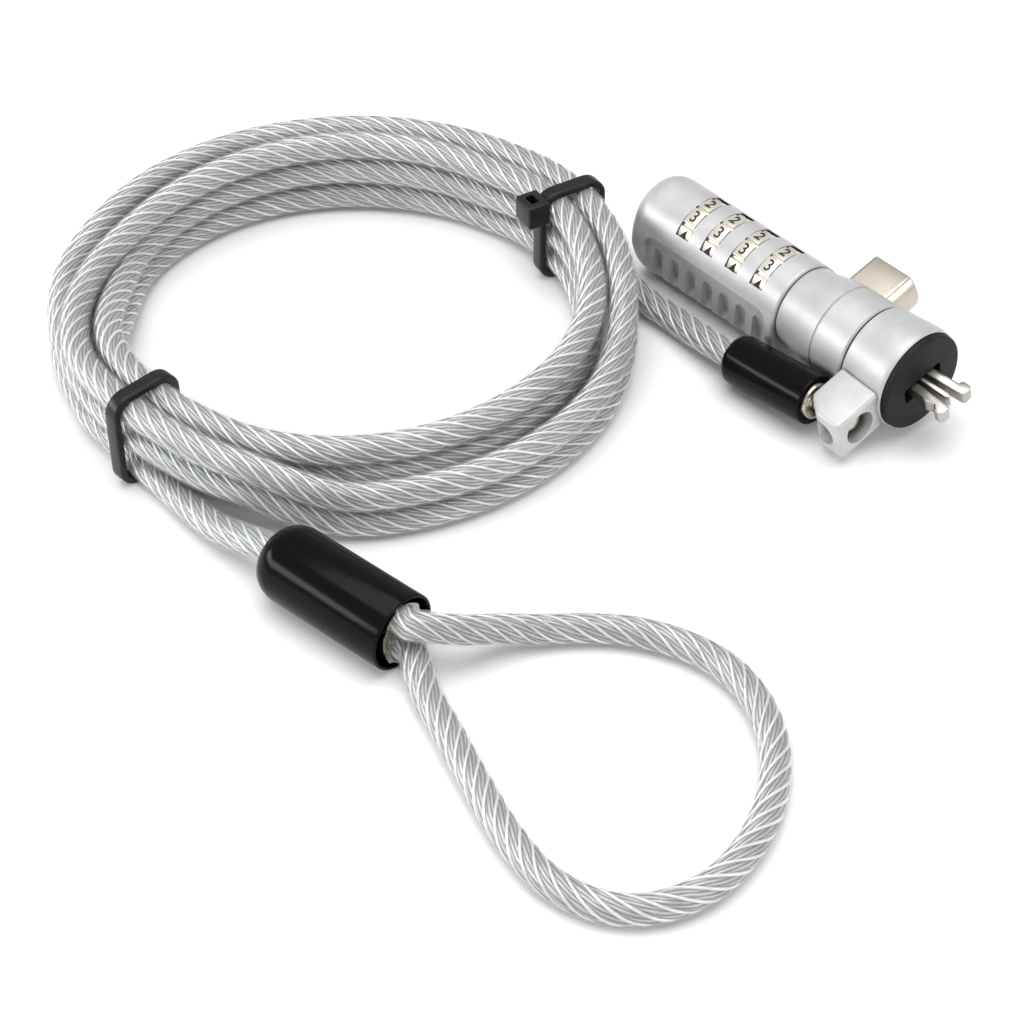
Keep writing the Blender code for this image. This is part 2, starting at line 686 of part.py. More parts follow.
def make_pad(head):
    profile = [
        (-PAD_THICKNESS, 0.0),
        (-PAD_THICKNESS, PAD_RADIUS),
        (-0.2, PAD_RADIUS),
        (0.0, PAD_RADIUS - 0.2),
        (0.0, 0.0),
    ]
    pad = piece("face_pad", turned(profile), "black_rubber", head)
    outline = rounded_box_outline((-4.0, -1.5), (4.0, 1.5), 0.5)
    boolean(pad, piece("cut_pad", prism(outline, 0, -3.0, 1.0), None, head))


def place_along(bm, start, end):
    """Lays a mesh made along +X onto the line between two points."""
    turn = Vector((1.0, 0.0, 0.0)).rotation_difference(end - start).to_matrix().to_4x4()
    bmesh.ops.transform(bm, matrix=Matrix.Translation(start) @ turn, verts=bm.verts)
    return bm


def make_lock_end(ball):
    """Ball stud, crimped ferrule and vinyl sleeve at the lock end of the cable."""
    end = LOCK_SLEEVE_END
    stud = [(-BALL_RADIUS, 0.0)]
    stud += [(x, y) for x, y in arc((0.0, 0.0), BALL_RADIUS, 170.0, 30.0, 10)]
    stud += [(BALL_RADIUS, 1.4), (9.0, 1.4), (9.0, 0.0)]
    piece("swivel_ball", place_along(turned(stud, 24), ball, end), "ferrule_nickel", None, ball)
    ferrule = [
        (LOCK_FERRULE_FROM, 1.4 + SEAM),
        (LOCK_FERRULE_FROM, LOCK_FERRULE_RADIUS - 0.3),
        (LOCK_FERRULE_FROM + 0.3, LOCK_FERRULE_RADIUS),
        (LOCK_FERRULE_TO, LOCK_FERRULE_RADIUS),
        (LOCK_FERRULE_TO, 0.0),
        (9.4, 0.0),
        (9.4, 1.4 + SEAM),
    ]
    piece("lock_ferrule", place_along(turned(ferrule, 24), ball, end), "ferrule_nickel", None, ball)
    sleeve = [
        (LOCK_SLEEVE_FROM, LOCK_FERRULE_RADIUS + 0.2),
        (LOCK_SLEEVE_FROM, LOCK_SLEEVE_RADIUS - 0.2),
        (LOCK_SLEEVE_FROM + 0.2, LOCK_SLEEVE_RADIUS),
        (LOCK_SLEEVE_TO - 1.6, LOCK_SLEEVE_RADIUS),
        (LOCK_SLEEVE_TO - 0.7, LOCK_SLEEVE_RADIUS - 0.3),
        (LOCK_SLEEVE_TO - 0.15, LOCK_SLEEVE_RADIUS - 0.8),
        (LOCK_SLEEVE_TO, CABLE_RADIUS + GAP),
        (LOCK_FERRULE_TO + GAP, CABLE_RADIUS + GAP),
        (LOCK_FERRULE_TO + GAP, LOCK_FERRULE_RADIUS + 0.2),
    ]
    piece("lock_sleeve", place_along(turned(sleeve, 32), ball, end), "black_vinyl", None, ball)


def make_loop_end():
    """Oval ferrule crimped round both legs of the loop, inside its vinyl sleeve."""
    tip, mouth = LOOP_SLEEVE_TIP, LOOP_SLEEVE_MOUTH
    length = (mouth - tip).length
    inner = LOOP_SLEEVE_RADIUS - LOOP_SLEEVE_WALL
    outer = [
        (0.0, CABLE_RADIUS + GAP),
        (0.15, 4.2),
        (0.9, 5.2),
        (2.2, 5.9),
        (3.6, LOOP_SLEEVE_RADIUS),
        (length - 0.3, LOOP_SLEEVE_RADIUS),
        (length, LOOP_SLEEVE_RADIUS - 0.2),
        (length, inner),
        (8.0, inner),
        (8.0, CABLE_RADIUS + GAP),
    ]
    piece("loop_sleeve", place_along(turned(outer, 32), tip, mouth), "black_vinyl", None, tip)
    half = LOOP_CABLE_SPACING / 2.0
    oval = arc((0.0, half), 2.75, 0.0, 180.0, 8) + arc((0.0, -half), 2.75, 180.0, 360.0, 8)
    ferrule = prism(oval, 0, 8.3, length - 0.6)
    piece("loop_ferrule", place_along(ferrule, tip, mouth), "ferrule_nickel", None, tip)


def make_tie(name, angle):
    """Nylon tie: a strap round the whole bundle and the square head that locks it."""
    inner_low, inner_high = COIL_INNER - GAP, COIL_OUTER + GAP
    low, high = COIL_BOTTOM - GAP, COIL_TOP + GAP
    grow = TIE_THICKNESS
    outline = rounded_box_outline((inner_low - grow, low - grow), (inner_high + grow, high + grow), 3.2, 4)
    strap = prism(outline, 1, -TIE_WIDTH / 2.0, TIE_WIDTH / 2.0)
    opening = prism(rounded_box_outline((inner_low, low), (inner_high, high), 2.1, 4), 1, -5.0, 5.0)
    base = low + TIE_BLOCK_RISE[name]
    side = inner_low - 0.2
    block = rounded_box_outline((side - TIE_BLOCK_DEPTH, base), (side, base + TIE_BLOCK_HEIGHT), 0.6, 2)
    head = prism(block, 1, -TIE_WIDTH / 2.0 - 1.1, TIE_WIDTH / 2.0 + 1.1)
    anchor = empty(f"{name}_place", COIL_CENTRE)
    anchor.rotation_euler.z = math.radians(angle)
    strap = piece(name, strap, "black_nylon", anchor)
    boolean(strap, piece(f"join_{name}_head", head, None, anchor), "UNION")
    boolean(strap, piece(f"cut_{name}", opening, None, anchor))


def smooth_route(points, spacing):
    """Points at even spacing on a smooth curve through the route's own points (Catmull-Rom)."""
    points = [Vector(point) for point in points]
    padded = [2.0 * points[0] - points[1], *points, 2.0 * points[-1] - points[-2]]
    fine = []
    for before, start, end, after in zip(padded, padded[1:], padded[2:], padded[3:]):
        for step in range(20):
            t = step / 20.0
            fine.append(
                0.5
                * (
                    2.0 * start
                    + (end - before) * t
                    + (2.0 * before - 5.0 * start + 4.0 * end - after) * t * t
                    + (3.0 * start - before - 3.0 * end + after) * t**3
                )
            )
    fine.append(points[-1])
    reach = [0.0]
    for start, end in zip(fine, fine[1:]):
        reach.append(reach[-1] + (end - start).length)
    count = max(2, round(reach[-1] / spacing))
    even = []
    index = 0
    for step in range(count + 1):
        wanted = reach[-1] * step / count
        while index < len(fine) - 2 and reach[index + 1] < wanted:
            index += 1
        part = (wanted - reach[index]) / (reach[index + 1] - reach[index])
        even.append(fine[index].lerp(fine[index + 1], part))
    # A short first and last step keep the end faces square to the route.
    even.insert(1, even[0] + (fine[1] - fine[0]).normalized() * END_STEP)
    even.insert(-1, even[-1] - (fine[-1] - fine[-2]).normalized() * END_STEP)
    return even


def cable_tube(name, route, spacing=8.0):
    curve = bpy.data.curves.new(name, "CURVE")
    curve.dimensions = "3D"
    curve.bevel_depth = CABLE_RADIUS * MM
    curve.bevel_resolution = 3
    curve.use_fill_caps = True
    curve.render_resolution_u = 0
    points = smooth_route(route, spacing)
    spline = curve.splines.new("POLY")
    spline.points.add(len(points) - 1)
    for place, point in zip(spline.points, points):
        place.co = (*(point * MM), 1.0)
    obj = bpy.data.objects.new(name, curve)
    bpy.context.scene.collection.objects.link(obj)
    colour, roughness, metallic = FINISHES["coated_cable"]
    curve.materials.append(material(name, colour, roughness, metallic))
    return obj


def make_cable(ball):
    lead_start = ball + (LOCK_SLEEVE_END - ball).normalized() * (LOCK_FERRULE_TO + GAP)
    cable_tube("cable_lead", [lead_start, LOCK_SLEEVE_END, *LEAD_ROUTE])
    tip, mouth = LOOP_SLEEVE_TIP, LOOP_SLEEVE_MOUTH
    along = (mouth - tip).normalized()
    length = (mouth - tip).length
    cable_tube("cable_lead_out", [*LEAD_OUT_ROUTE, tip - along * 2.0, tip + along * 8.0])
    up = Vector((0.0, 0.0, LOOP_CABLE_SPACING / 2.0))
    upper = tip + along * (length - 0.3) + up
    lower = tip + along * (length - 0.3) - up
    route = [upper, upper + along * 2.0, *LOOP_ROUTE, lower + along * 2.0, lower]
    cable_tube("cable_loop", route)
    ring = rounded_box_outline((COIL_INNER, COIL_BOTTOM), (COIL_OUTER, COIL_TOP), 2.4, 3)
    bm = turned([(z, radius) for radius, z in ring], 48)
    bmesh.ops.rotate(bm, verts=bm.verts, matrix=Matrix.Rotation(math.radians(-90.0), 3, "Y"))
    bmesh.ops.translate(bm, verts=bm.verts, vec=COIL_CENTRE)
    piece("cable_coil", bm, "coated_cable", None, COIL_CENTRE)
    for name, angle in TIE_ANGLES.items():
        make_tie(name, angle)


def main():
    clear_scene()
    head = empty("lock_head", (HEAD_X, HEAD_Y, resting_height()))
    head.rotation_euler.x = HEAD_ROLL
    make_shell(head)
    make_bottom_cover(head)
    make_rear(head)
    make_dials(head)
    make_detent(head)
    make_spindle(head)
    make_neck(head)
    make_button(head)
    make_slider(head)
    make_jaws(head)
    make_collar(head)
    make_pad(head)
    turn = Matrix.Rotation(HEAD_ROLL, 3, "X")
    ball = turn @ BALL + Vector((HEAD_X, HEAD_Y, resting_height()))
    make_lock_end(ball)
    make_loop_end()
    make_cable(ball)


main()
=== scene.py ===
"""Looks of the laptop cable lock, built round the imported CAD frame.

Shapes are worked out in millimetres and turned into metres by MM. The lock head has its own frame:
X along the barrel with zero on the pad's face, Y to the button, Z to the number windows.
"""

import json
import math

import bmesh
import bpy
import numpy as np
from mathutils import Matrix, Vector


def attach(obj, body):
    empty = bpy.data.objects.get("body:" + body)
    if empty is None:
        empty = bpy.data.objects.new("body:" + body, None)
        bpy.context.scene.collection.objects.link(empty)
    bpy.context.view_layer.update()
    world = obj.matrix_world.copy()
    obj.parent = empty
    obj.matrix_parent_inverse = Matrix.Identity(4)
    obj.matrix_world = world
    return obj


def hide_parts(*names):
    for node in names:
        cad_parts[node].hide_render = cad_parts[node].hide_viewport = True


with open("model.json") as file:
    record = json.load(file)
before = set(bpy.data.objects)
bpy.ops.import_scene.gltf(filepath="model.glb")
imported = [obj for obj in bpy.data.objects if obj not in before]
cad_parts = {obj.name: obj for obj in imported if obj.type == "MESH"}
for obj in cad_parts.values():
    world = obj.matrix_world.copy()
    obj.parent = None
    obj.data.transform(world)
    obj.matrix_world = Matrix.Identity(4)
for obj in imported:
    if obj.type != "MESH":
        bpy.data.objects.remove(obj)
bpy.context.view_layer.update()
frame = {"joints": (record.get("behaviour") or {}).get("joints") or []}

MM = 0.001

# ---------------------------------------------------------------- the lock head's frame, from its joints
JOINTS = {joint["name"]: joint for joint in frame["joints"]}
HEAD_ORIGIN = Vector(JOINTS["head_swivel"]["pos_m"]) / MM
BUTTON_WAY = JOINTS["button_push"]["axis"]
HEAD_ROLL = math.atan2(-BUTTON_WAY[2], -BUTTON_WAY[1])
HEAD = Matrix.Translation(HEAD_ORIGIN) @ Matrix.Rotation(HEAD_ROLL, 4, "X")
BALL = Vector(JOINTS["cable_pivot"]["pos_m"]) / MM
WORLD = Matrix.Identity(4)

# ---------------------------------------------------------------- sizes that follow the CAD model
BODY_REAR = -60.0
BODY_FRONT = -25.6
BODY_HALF_WIDTH = 8.2
BODY_WAIST_Z = -2.0
BODY_TOP = 7.25
BODY_BOTTOM = -10.32
BODY_FRONT_BOTTOM = -8.9
BODY_SQUARENESS = 2.2
COVER_SPLIT_Z = -6.9
COVER_REAR = -57.4
COVER_FRONT = -27.6
DIAL_X = (-48.07, -42.42, -36.67, -30.97)
DIAL_AXIS_Z = 1.55
DIAL_RADIUS = 6.05
DIAL_WIDTH = 2.6
DIAL_BORE = 3.75
DIAL_FLAT = DIAL_RADIUS * math.cos(math.radians(18.0))
DIAL_FIRST_FACET = 34.0
WINDOW_WIDTH = 2.85
WINDOW_HALF = 5.05
POCKET_RADIUS = 6.17
BARREL_BORE = 4.1
GRIP_REAR = -56.0
GRIP_FRONT = -27.0
GRIP_TOP_Z = 2.65
GRIP_FLOOR_Y = 6.6
FLUTE_PITCH = 3.9
FLUTES = 7
NECK_FRONT = -10.35
NECK_RADIUS = 7.95
NECK_PLUG_REAR = -28.2
NECK_PLUG_RADIUS = 4.9
NECK_SOCKET_REAR = -28.5
NECK_BORE = 4.0
NECK_HOLLOW = 5.9
NECK_HOLLOW_REAR = -24.9
SPIGOT_RADIUS = 6.7
SPIGOT_FRONT = -1.75
SPIGOT_FLOOR = -10.9
JAW_CHANNEL = (4.2, 1.7)
COLLAR_REAR = -10.0
COLLAR_FRONT = -1.2
COLLAR_BORE = 6.8
PAD_RADIUS = 8.2
PAD_THICKNESS = 1.4
PAD_SLOT = (4.0, 1.5)
LUG_REAR = -9.7
LUG_FRONT = -1.6
LUG_OUT = -16.8
LUG_TOP = 3.7
LUG_BOTTOM = -4.2
LOCAL_BALL = Vector((-5.7, -12.4, -0.25))
BALL_RADIUS = 3.0
BALL_SEAT = 3.2
BALL_SLOT = 2.5
LUG_HOLE = 2.8
BUTTON_X = -17.75
BUTTON_RADIUS = 5.1
BUTTON_HALF_HEIGHT = 3.6
BUTTON_FACE_Y = 12.8
SCREW_RADIUS = 1.4
SCREW_FRONT = -57.8
JAW_PIN = (-6.5, 2.0)
JAW_BORE = 0.75
JAW_TAIL_X = -8.6
JAW_HALF_DEPTH = 1.15
JAW_TIP_X = 7.2
JAW_HEAD_Y = 3.6
BLADE_TIP_X = 5.7
BLADE_REAR = -19.4
BLADE_THICKNESS = 0.9
BLADE_HALF_DEPTH = 1.1
CABLE_RADIUS = 2.5
COIL_CENTRE = Vector((-48.6, -52.6, 0.0))
COIL_INNER = 37.0
COIL_OUTER = 46.9
COIL_BOTTOM = 1.4
COIL_TOP = 15.9
COIL_INNER_TURN = 39.4
COIL_OUTER_TURN = 44.4
COIL_ROW = 5.0
TIE_ANGLES = {"cable_tie_right": 80.0, "cable_tie_left": 274.0}
TIE_BLOCK_RISE = {"cable_tie_right": 11.4, "cable_tie_left": 0.0}
TIE_BLOCK_DEPTH = 3.7
TIE_BLOCK_HEIGHT = 4.4
STRAP_WIDTH = 2.5
STRAP_THICKNESS = 1.1
STUD_FROM = 3.4
STUD_TO = 9.0
STUD_RADIUS = 1.35
LOCK_SLEEVE_END = Vector((-4.0, -10.6, 4.3))
LOCK_SLEEVE_TO = 23.8
LOCK_FERRULE_FROM = 4.7
LOCK_FERRULE_TO = 16.0
LOCK_FERRULE_RADIUS = 3.1
FERRULE_THROAT = 1.5
FERRULE_BORE = 2.6
FERRULE_BORE_FROM = 9.4
CABLE_FROM = 9.6
LOOP_SLEEVE_TIP = Vector((-12.6, -94.9, 6.15))
LOOP_SLEEVE_MOUTH = Vector((12.6, -91.0, 6.15))
LOOP_SLEEVE_RADIUS = 6.15
LOOP_SLEEVE_WALL = 0.6
LOOP_CABLE_SPACING = 5.3
LOOP_CHAMBER = 8.0
LOOP_FERRULE_HALF = (4.1, 5.15)
LEAD_ROUTE = [
    (-11.5, -10.2, 3.3),
    (-17.4, -9.7, 2.7),
    (-24.3, -9.6, 2.5),
]
COIL_ENTRY = (-31.5, -9.25, 2.9)
# The first two points lie inside the CAD coil.
LEAD_OUT_ROUTE = [
    (-39.3, -96.4, 2.6),
    (-33.8, -96.6, 2.8),
    (-25.2, -96.7, 3.6),
    (-20.3, -96.1, 4.7),
]
LOOP_ROUTE = [
    (18.0, -84.5, 6.6),
    (19.8, -79.0, 4.6),
    (22.6, -73.4, 2.9),
    (26.7, -67.7, 2.5),
    (31.8, -63.0, 2.5),
    (38.2, -59.7, 2.5),
    (45.0, -58.3, 2.5),
    (52.4, -59.4, 2.5),
    (59.8, -63.3, 2.5),
    (66.0, -69.6, 2.5),
    (70.4, -77.6, 2.5),
    (72.3, -86.6, 2.5),
    (70.6, -94.8, 2.5),
    (65.6, -100.6, 2.5),
    (57.4, -103.1, 2.5),
    (47.8, -102.0, 2.5),
    (38.0, -99.2, 2.5),
    (28.6, -96.2, 2.5),
    (20.9, -93.9, 2.7),
]

# ---------------------------------------------------------------- sizes that only the looks have
# The coil, in degrees of winding: where it starts and ends, and the stretches of each turn where a strand
# changes its place in the bundle, sinks below its row and comes back up.
WIND_START = 90.0
WIND_FROM = 98.0
WIND_TO = 2064.0
WIND_STEP = 6.0
CHANGE_OVER = (198.0, 256.0)
SINK = (297.0, 325.0)
RISE = (380.0, 418.0)
PASS_BESIDE = 1.83
OUTER_SLACK = 0.35
INNER_SLACK = 0.45
SLACK_PHASE = 40.0
TIE_GRIP = (6.0, 26.0)
TIE_ROOM = 0.3
JACKET_STEP = 2.0
JACKET_SIDES = 18
STRAND_COUNT = 6
STRAND_STEP = 1.0
STRAND_SIDES = 9
STRAND_RADIUS = 0.74
STRAND_ORBIT = 1.48
STRAND_LAY = 20.0
CORE_RADIUS = STRAND_ORBIT - STRAND_RADIUS * 0.8
WIRES = 7.0
WIRE_LAY = 4.5
# Thin bright lines of painted highlight in the valleys between the strands.
VALLEY_ORBIT = 1.95
VALLEY_RADIUS = 0.3
VALLEY_SIDES = 5
LOCK_SLEEVE_FROM = 5.3
LOCK_SLEEVE_RADIUS = 4.2
LOOP_CRUMPLE = 0.055
# The barrel's field is measured outward from a line along X at this height.
FIELD_CENTRE_Z = 2.0
FIELD_STEP = 0.17
EDGE_SOFT = 0.16
FRONT_ROUND = 0.5
REAR_ROUND = 3.4
REAR_INSET = 2.6
SHOULDER = 0.09
GRIP_CORNER = 3.0
GRIP_LEAN_FROM = 0.7
GRIP_LEAN_HEIGHT = 6.3
BELOW_BODY = -20.0
FLUTE_MARGIN = 2.6
FLUTE_WIDTH = 2.1
FLUTE_FLOOR_Y = 6.35
FLUTE_TOP_Z = 0.2
FLUTE_BOTTOM_Z = -6.6
PLUG_RADIUS = 3.0
PLUG_STEP = -58.5
PLUG_FRONT = -58.0
SCREW_SLOT = 0.44
NECK_HALL = -20.0
NECK_GROOVE_X = -16.8
BUTTON_INNER_Y = 4.6
DIAL_DOME = 0.16
DIAL_GROOVE = 5.5
DIAL_FIRST_DIGIT = 1
DIGIT_SIZE = 3.0
DIGIT_DEPTH = 0.05
DIGIT_NARROWING = 0.92
ON_AXIS = 1e-6


# ---------------------------------------------------------------- camera, light and floor
CAMERA_AT = Vector((221.7, -251.1, 274.9)) * MM
CAMERA_TARGET = Vector((-1.4, -58.4, 0.0)) * MM
LENS = 92.63
SENSOR = 36.0
WORLD_LIGHT = 0.54
LIT_POINT = (0.0, -0.05, 0.0)
# Place, width and height, and watts.
LIGHTS = {
    "top_softbox": ((0.0, -0.05, 0.9), (0.9, 0.9), 7.4),
    "left_strip": ((-0.35, -0.55, 0.22), (0.6, 0.14), 2.2),
    "right_strip": ((0.65, 0.25, 0.25), (0.5, 0.12), 1.0),
}
FLOOR_HALF = 3.0


def aim(obj, location, target):
    obj.location = location
    obj.rotation_mode = "QUATERNION"
    obj.rotation_quaternion = (Vector(target) - Vector(location)).to_track_quat("-Z", "Y")
    bpy.context.scene.collection.objects.link(obj)


def make_camera():
    data = bpy.data.cameras.new("camera")
    data.lens = LENS
    data.sensor_width = SENSOR
    data.clip_start = 0.01
    data.clip_end = 10.0
    camera = bpy.data.objects.new("camera", data)
    aim(camera, CAMERA_AT, CAMERA_TARGET)
    bpy.context.scene.camera = camera


def area_light(name, location, target, size, power):
    data = bpy.data.lights.new(name, "AREA")
    data.shape = "RECTANGLE"
    data.size, data.size_y = size
    data.energy = power
    aim(bpy.data.objects.new(name, data), location, target)


def make_stage():
    bpy.context.scene.view_settings.view_transform = "Standard"
    world = bpy.data.worlds.new("studio")
    world.use_nodes = True
    background = world.node_tree.nodes["Background"]
    background.inputs["Color"].default_value = (1.0, 1.0, 1.0, 1.0)
    background.inputs["Strength"].default_value = WORLD_LIGHT
    bpy.context.scene.world = world
    for name, (location, size, power) in LIGHTS.items():
        area_light(name, location, LIT_POINT, size, power)
    mesh = bpy.data.meshes.new("floor")
    half = FLOOR_HALF
    corners = [(-half, -half, 0), (half, -half, 0), (half, half, 0), (-half, half, 0)]
    mesh.from_pydata(corners, [], [(0, 1, 2, 3)])
    floor = bpy.data.objects.new("floor", mesh)
    bpy.context.scene.collection.objects.link(floor)
    paper = surface(
        "floor_paper", (0.93, 0.93, 0.93), (0.95, 0.95, 0.95),
        roughness=0.9, grain=900.0, bump=0.01,
    )
    mesh.materials.append(paper)


# ---------------------------------------------------------------- materials
FINISHES = {}


def remap(made, value, low, high, to_low, to_high):
    """Output that carries a value from one range to another."""
    node = made.node_tree.nodes.new("ShaderNodeMapRange")
    node.inputs["From Min"].default_value = low
    node.inputs["From Max"].default_value = high
    node.inputs["To Min"].default_value = to_low
    node.inputs["To Max"].default_value = to_high
    made.node_tree.links.new(value, node.inputs["Value"])
    return node.outputs["Result"]


def scale_tone(made, factor):
    """Multiplies the finish's colour by an output."""
    nodes, links = made.node_tree.nodes, made.node_tree.links
    shader = nodes["Principled BSDF"]
    scaled = nodes.new("ShaderNodeVectorMath")
    scaled.operation = "SCALE"
    links.new(shader.inputs["Base Color"].links[0].from_socket, scaled.inputs[0])
    links.new(factor, scaled.inputs["Scale"])
    links.new(scaled.outputs["Vector"], shader.inputs["Base Color"])


def raise_bump(made, height, strength, distance):
    """Raises the finish by an output, up to that many millimetres."""
    nodes, links = made.node_tree.nodes, made.node_tree.links
    raised = nodes.new("ShaderNodeBump")
    raised.inputs["Strength"].default_value = strength
    raised.inputs["Distance"].default_value = distance * MM
    links.new(height, raised.inputs["Height"])
    links.new(raised.outputs["Normal"], nodes["Principled BSDF"].inputs["Normal"])


def surface(name, tone, other, roughness, grain, bump, metallic=0.0, stretch=(1.0, 1.0, 1.0), **extra):
    """A finish whose colour drifts between two tones and whose fine grain is raised.

    The grain is in cycles per metre and the bump in millimetres. Extra names are the shader's own.
    """
    made = bpy.data.materials.new(name)
    made.use_nodes = True
    nodes, links = made.node_tree.nodes, made.node_tree.links
    shader = nodes["Principled BSDF"]
    shader.inputs["Metallic"].default_value = metallic
    for socket, value in extra.items():
        shader.inputs[socket.replace("_", " ")].default_value = value
    place = nodes.new("ShaderNodeTexCoord")
    drift = nodes.new("ShaderNodeTexNoise")
    drift.inputs["Scale"].default_value = grain / 12.0
    drift.inputs["Detail"].default_value = 5.0
    links.new(place.outputs["Object"], drift.inputs["Vector"])
    ramp = nodes.new("ShaderNodeValToRGB")
    ramp.color_ramp.elements[0].position = 0.35
    ramp.color_ramp.elements[0].color = (*tone, 1.0)
    ramp.color_ramp.elements[1].position = 0.68
    ramp.color_ramp.elements[1].color = (*other, 1.0)
    links.new(drift.outputs["Fac"], ramp.inputs["Fac"])
    links.new(ramp.outputs["Color"], shader.inputs["Base Color"])
    shift = nodes.new("ShaderNodeMapping")
    shift.inputs["Scale"].default_value = stretch
    links.new(place.outputs["Object"], shift.inputs["Vector"])
    fine = nodes.new("ShaderNodeTexNoise")
    fine.inputs["Scale"].default_value = grain
    fine.inputs["Detail"].default_value = 3.0
    links.new(shift.outputs["Vector"], fine.inputs["Vector"])
    wear = remap(made, fine.outputs["Fac"], 0.0, 1.0, roughness * 0.8, min(1.0, roughness * 1.25))
    links.new(wear, shader.inputs["Roughness"])
    raise_bump(made, fine.outputs["Fac"], 0.5, bump)
    FINISHES[name] = made
    return made


def settle_dirt(made, reach):
    """Paints shade into the finish's colour: darker in corners and pits within that many millimetres."""
    hollow = made.node_tree.nodes.new("ShaderNodeAmbientOcclusion")
    hollow.inputs["Distance"].default_value = reach * MM
    hollow.samples = 8
    # Painted shade: the colour falls to 0.28 of itself where the occlusion is deepest.
    scale_tone(made, remap(made, hollow.outputs["AO"], 0.25, 0.85, 0.28, 1.0))


def math_node(made, operation, first, second=None):
    """Output of a sum on one output and a number or a second output."""
    node = made.node_tree.nodes.new("ShaderNodeMath")
    node.operation = operation
    made.node_tree.links.new(first, node.inputs[0])
    if isinstance(second, float):
        node.inputs[1].default_value = second
    elif second is not None:
        made.node_tree.links.new(second, node.inputs[1])
    return node.outputs["Value"]


def twist_wires(made):
    """Raises the twisted wires along each strand, with painted shade in the grooves between them and
    painted highlight on their crests.
    """
    nodes = made.node_tree.nodes
    uv = nodes.new("ShaderNodeUVMap")
    uv.uv_map = "wires"
    split = nodes.new("ShaderNodeSeparateXYZ")
    made.node_tree.links.new(uv.outputs["UV"], split.inputs["Vector"])
    lanes = math_node(made, "MULTIPLY", split.outputs["Y"], WIRES)
    twisted = math_node(made, "ADD", lanes, split.outputs["X"])
    turn = math_node(made, "MULTIPLY", twisted, 2.0 * math.pi)
    wave = math_node(made, "SINE", turn)
    raise_bump(made, wave, 1.0, 0.05)
    # Painted shade and highlight: the colour falls to 0.3 in the grooves and rises to 1.25 on the crests.
    scale_tone(made, remap(made, wave, -1.0, 1.0, 0.3, 1.25))


def make_finishes():
    silver = surface(
        "satin_silver", (0.5, 0.5, 0.505), (0.56, 0.56, 0.565),
        roughness=0.42, metallic=0.35, grain=4000.0, bump=0.05,
    )
    # Painted shade: ambient occlusion darkens the silver's colour in the grips, flutes and other hollows.
    settle_dirt(silver, 1.6)
    surface(
        "dial_nickel", (0.7, 0.66, 0.56), (0.78, 0.74, 0.65),
        roughness=0.32, metallic=0.6, grain=3000.0, bump=0.01, stretch=(0.1, 1.0, 1.0),
    )
    surface(
        "champagne_nickel", (0.5, 0.455, 0.385), (0.58, 0.53, 0.455),
        roughness=0.3, metallic=1.0, grain=2600.0, bump=0.012, stretch=(1.0, 0.15, 1.0),
    )
    surface(
        "brass", (0.62, 0.45, 0.2), (0.72, 0.54, 0.27),
        roughness=0.3, metallic=1.0, grain=2500.0, bump=0.01,
    )
    surface(
        "jaw_steel", (0.4, 0.38, 0.35), (0.5, 0.48, 0.45),
        roughness=0.3, metallic=1.0, grain=2600.0, bump=0.02, stretch=(0.2, 1.0, 1.0),
    )
    surface(
        "spring_steel", (0.4, 0.41, 0.43), (0.5, 0.51, 0.53),
        roughness=0.3, metallic=1.0, grain=2500.0, bump=0.01,
    )
    surface(
        "black_rubber", (0.006, 0.006, 0.007), (0.012, 0.012, 0.013),
        roughness=0.6, grain=3500.0, bump=0.03, Specular_IOR_Level=0.25,
    )
    surface(
        "ferrule_nickel", (0.56, 0.5, 0.43), (0.7, 0.66, 0.6),
        roughness=0.25, metallic=1.0, grain=1600.0, bump=0.03,
    )
    surface(
        "black_vinyl", (0.002, 0.002, 0.0025), (0.004, 0.004, 0.005),
        roughness=0.16, grain=500.0, bump=0.02, Specular_IOR_Level=0.1,
    )
    surface(
        "black_nylon", (0.004, 0.004, 0.005), (0.009, 0.009, 0.01),
        roughness=0.34, grain=2500.0, bump=0.02, Specular_IOR_Level=0.35,
    )
    surface(
        "numeral_enamel", (0.006, 0.006, 0.006), (0.012, 0.012, 0.012),
        roughness=0.4, grain=3000.0, bump=0.01,
    )
    surface(
        "clear_jacket", (0.8, 0.81, 0.82), (0.88, 0.89, 0.9),
        roughness=0.12, grain=700.0, bump=0.05, IOR=1.6, Alpha=0.2,
    )
    # Painted highlight: a bright finish for the lines in the strands' valleys, standing for the light bands
    # there.
    surface(
        "painted_highlight", (0.62, 0.63, 0.64), (0.9, 0.91, 0.92),
        roughness=0.24, metallic=0.4, grain=1500.0, bump=0.12, IOR=1.6,
    )
    strand = surface(
        "strand_steel", (0.33, 0.34, 0.355), (0.5, 0.51, 0.525),
        roughness=0.4, metallic=0.85, grain=2500.0, bump=0.02,
    )
    twist_wires(strand)


# ---------------------------------------------------------------- building solids
def arc(centre, radius, start, end, steps):
    turns = np.radians(np.linspace(start, end, steps + 1))
    return [(centre[0] + radius * math.cos(t), centre[1] + radius * math.sin(t)) for t in turns]


def rounded_box(low, high, radius, steps=5):
    corners = [
        (high[0] - radius, high[1] - radius, 0.0),
        (low[0] + radius, high[1] - radius, 90.0),
        (low[0] + radius, low[1] + radius, 180.0),
        (high[0] - radius, low[1] + radius, 270.0),
    ]
    points = []
    for x, y, start in corners:
        points += arc((x, y), radius, start, start + 90.0, steps)
    return points


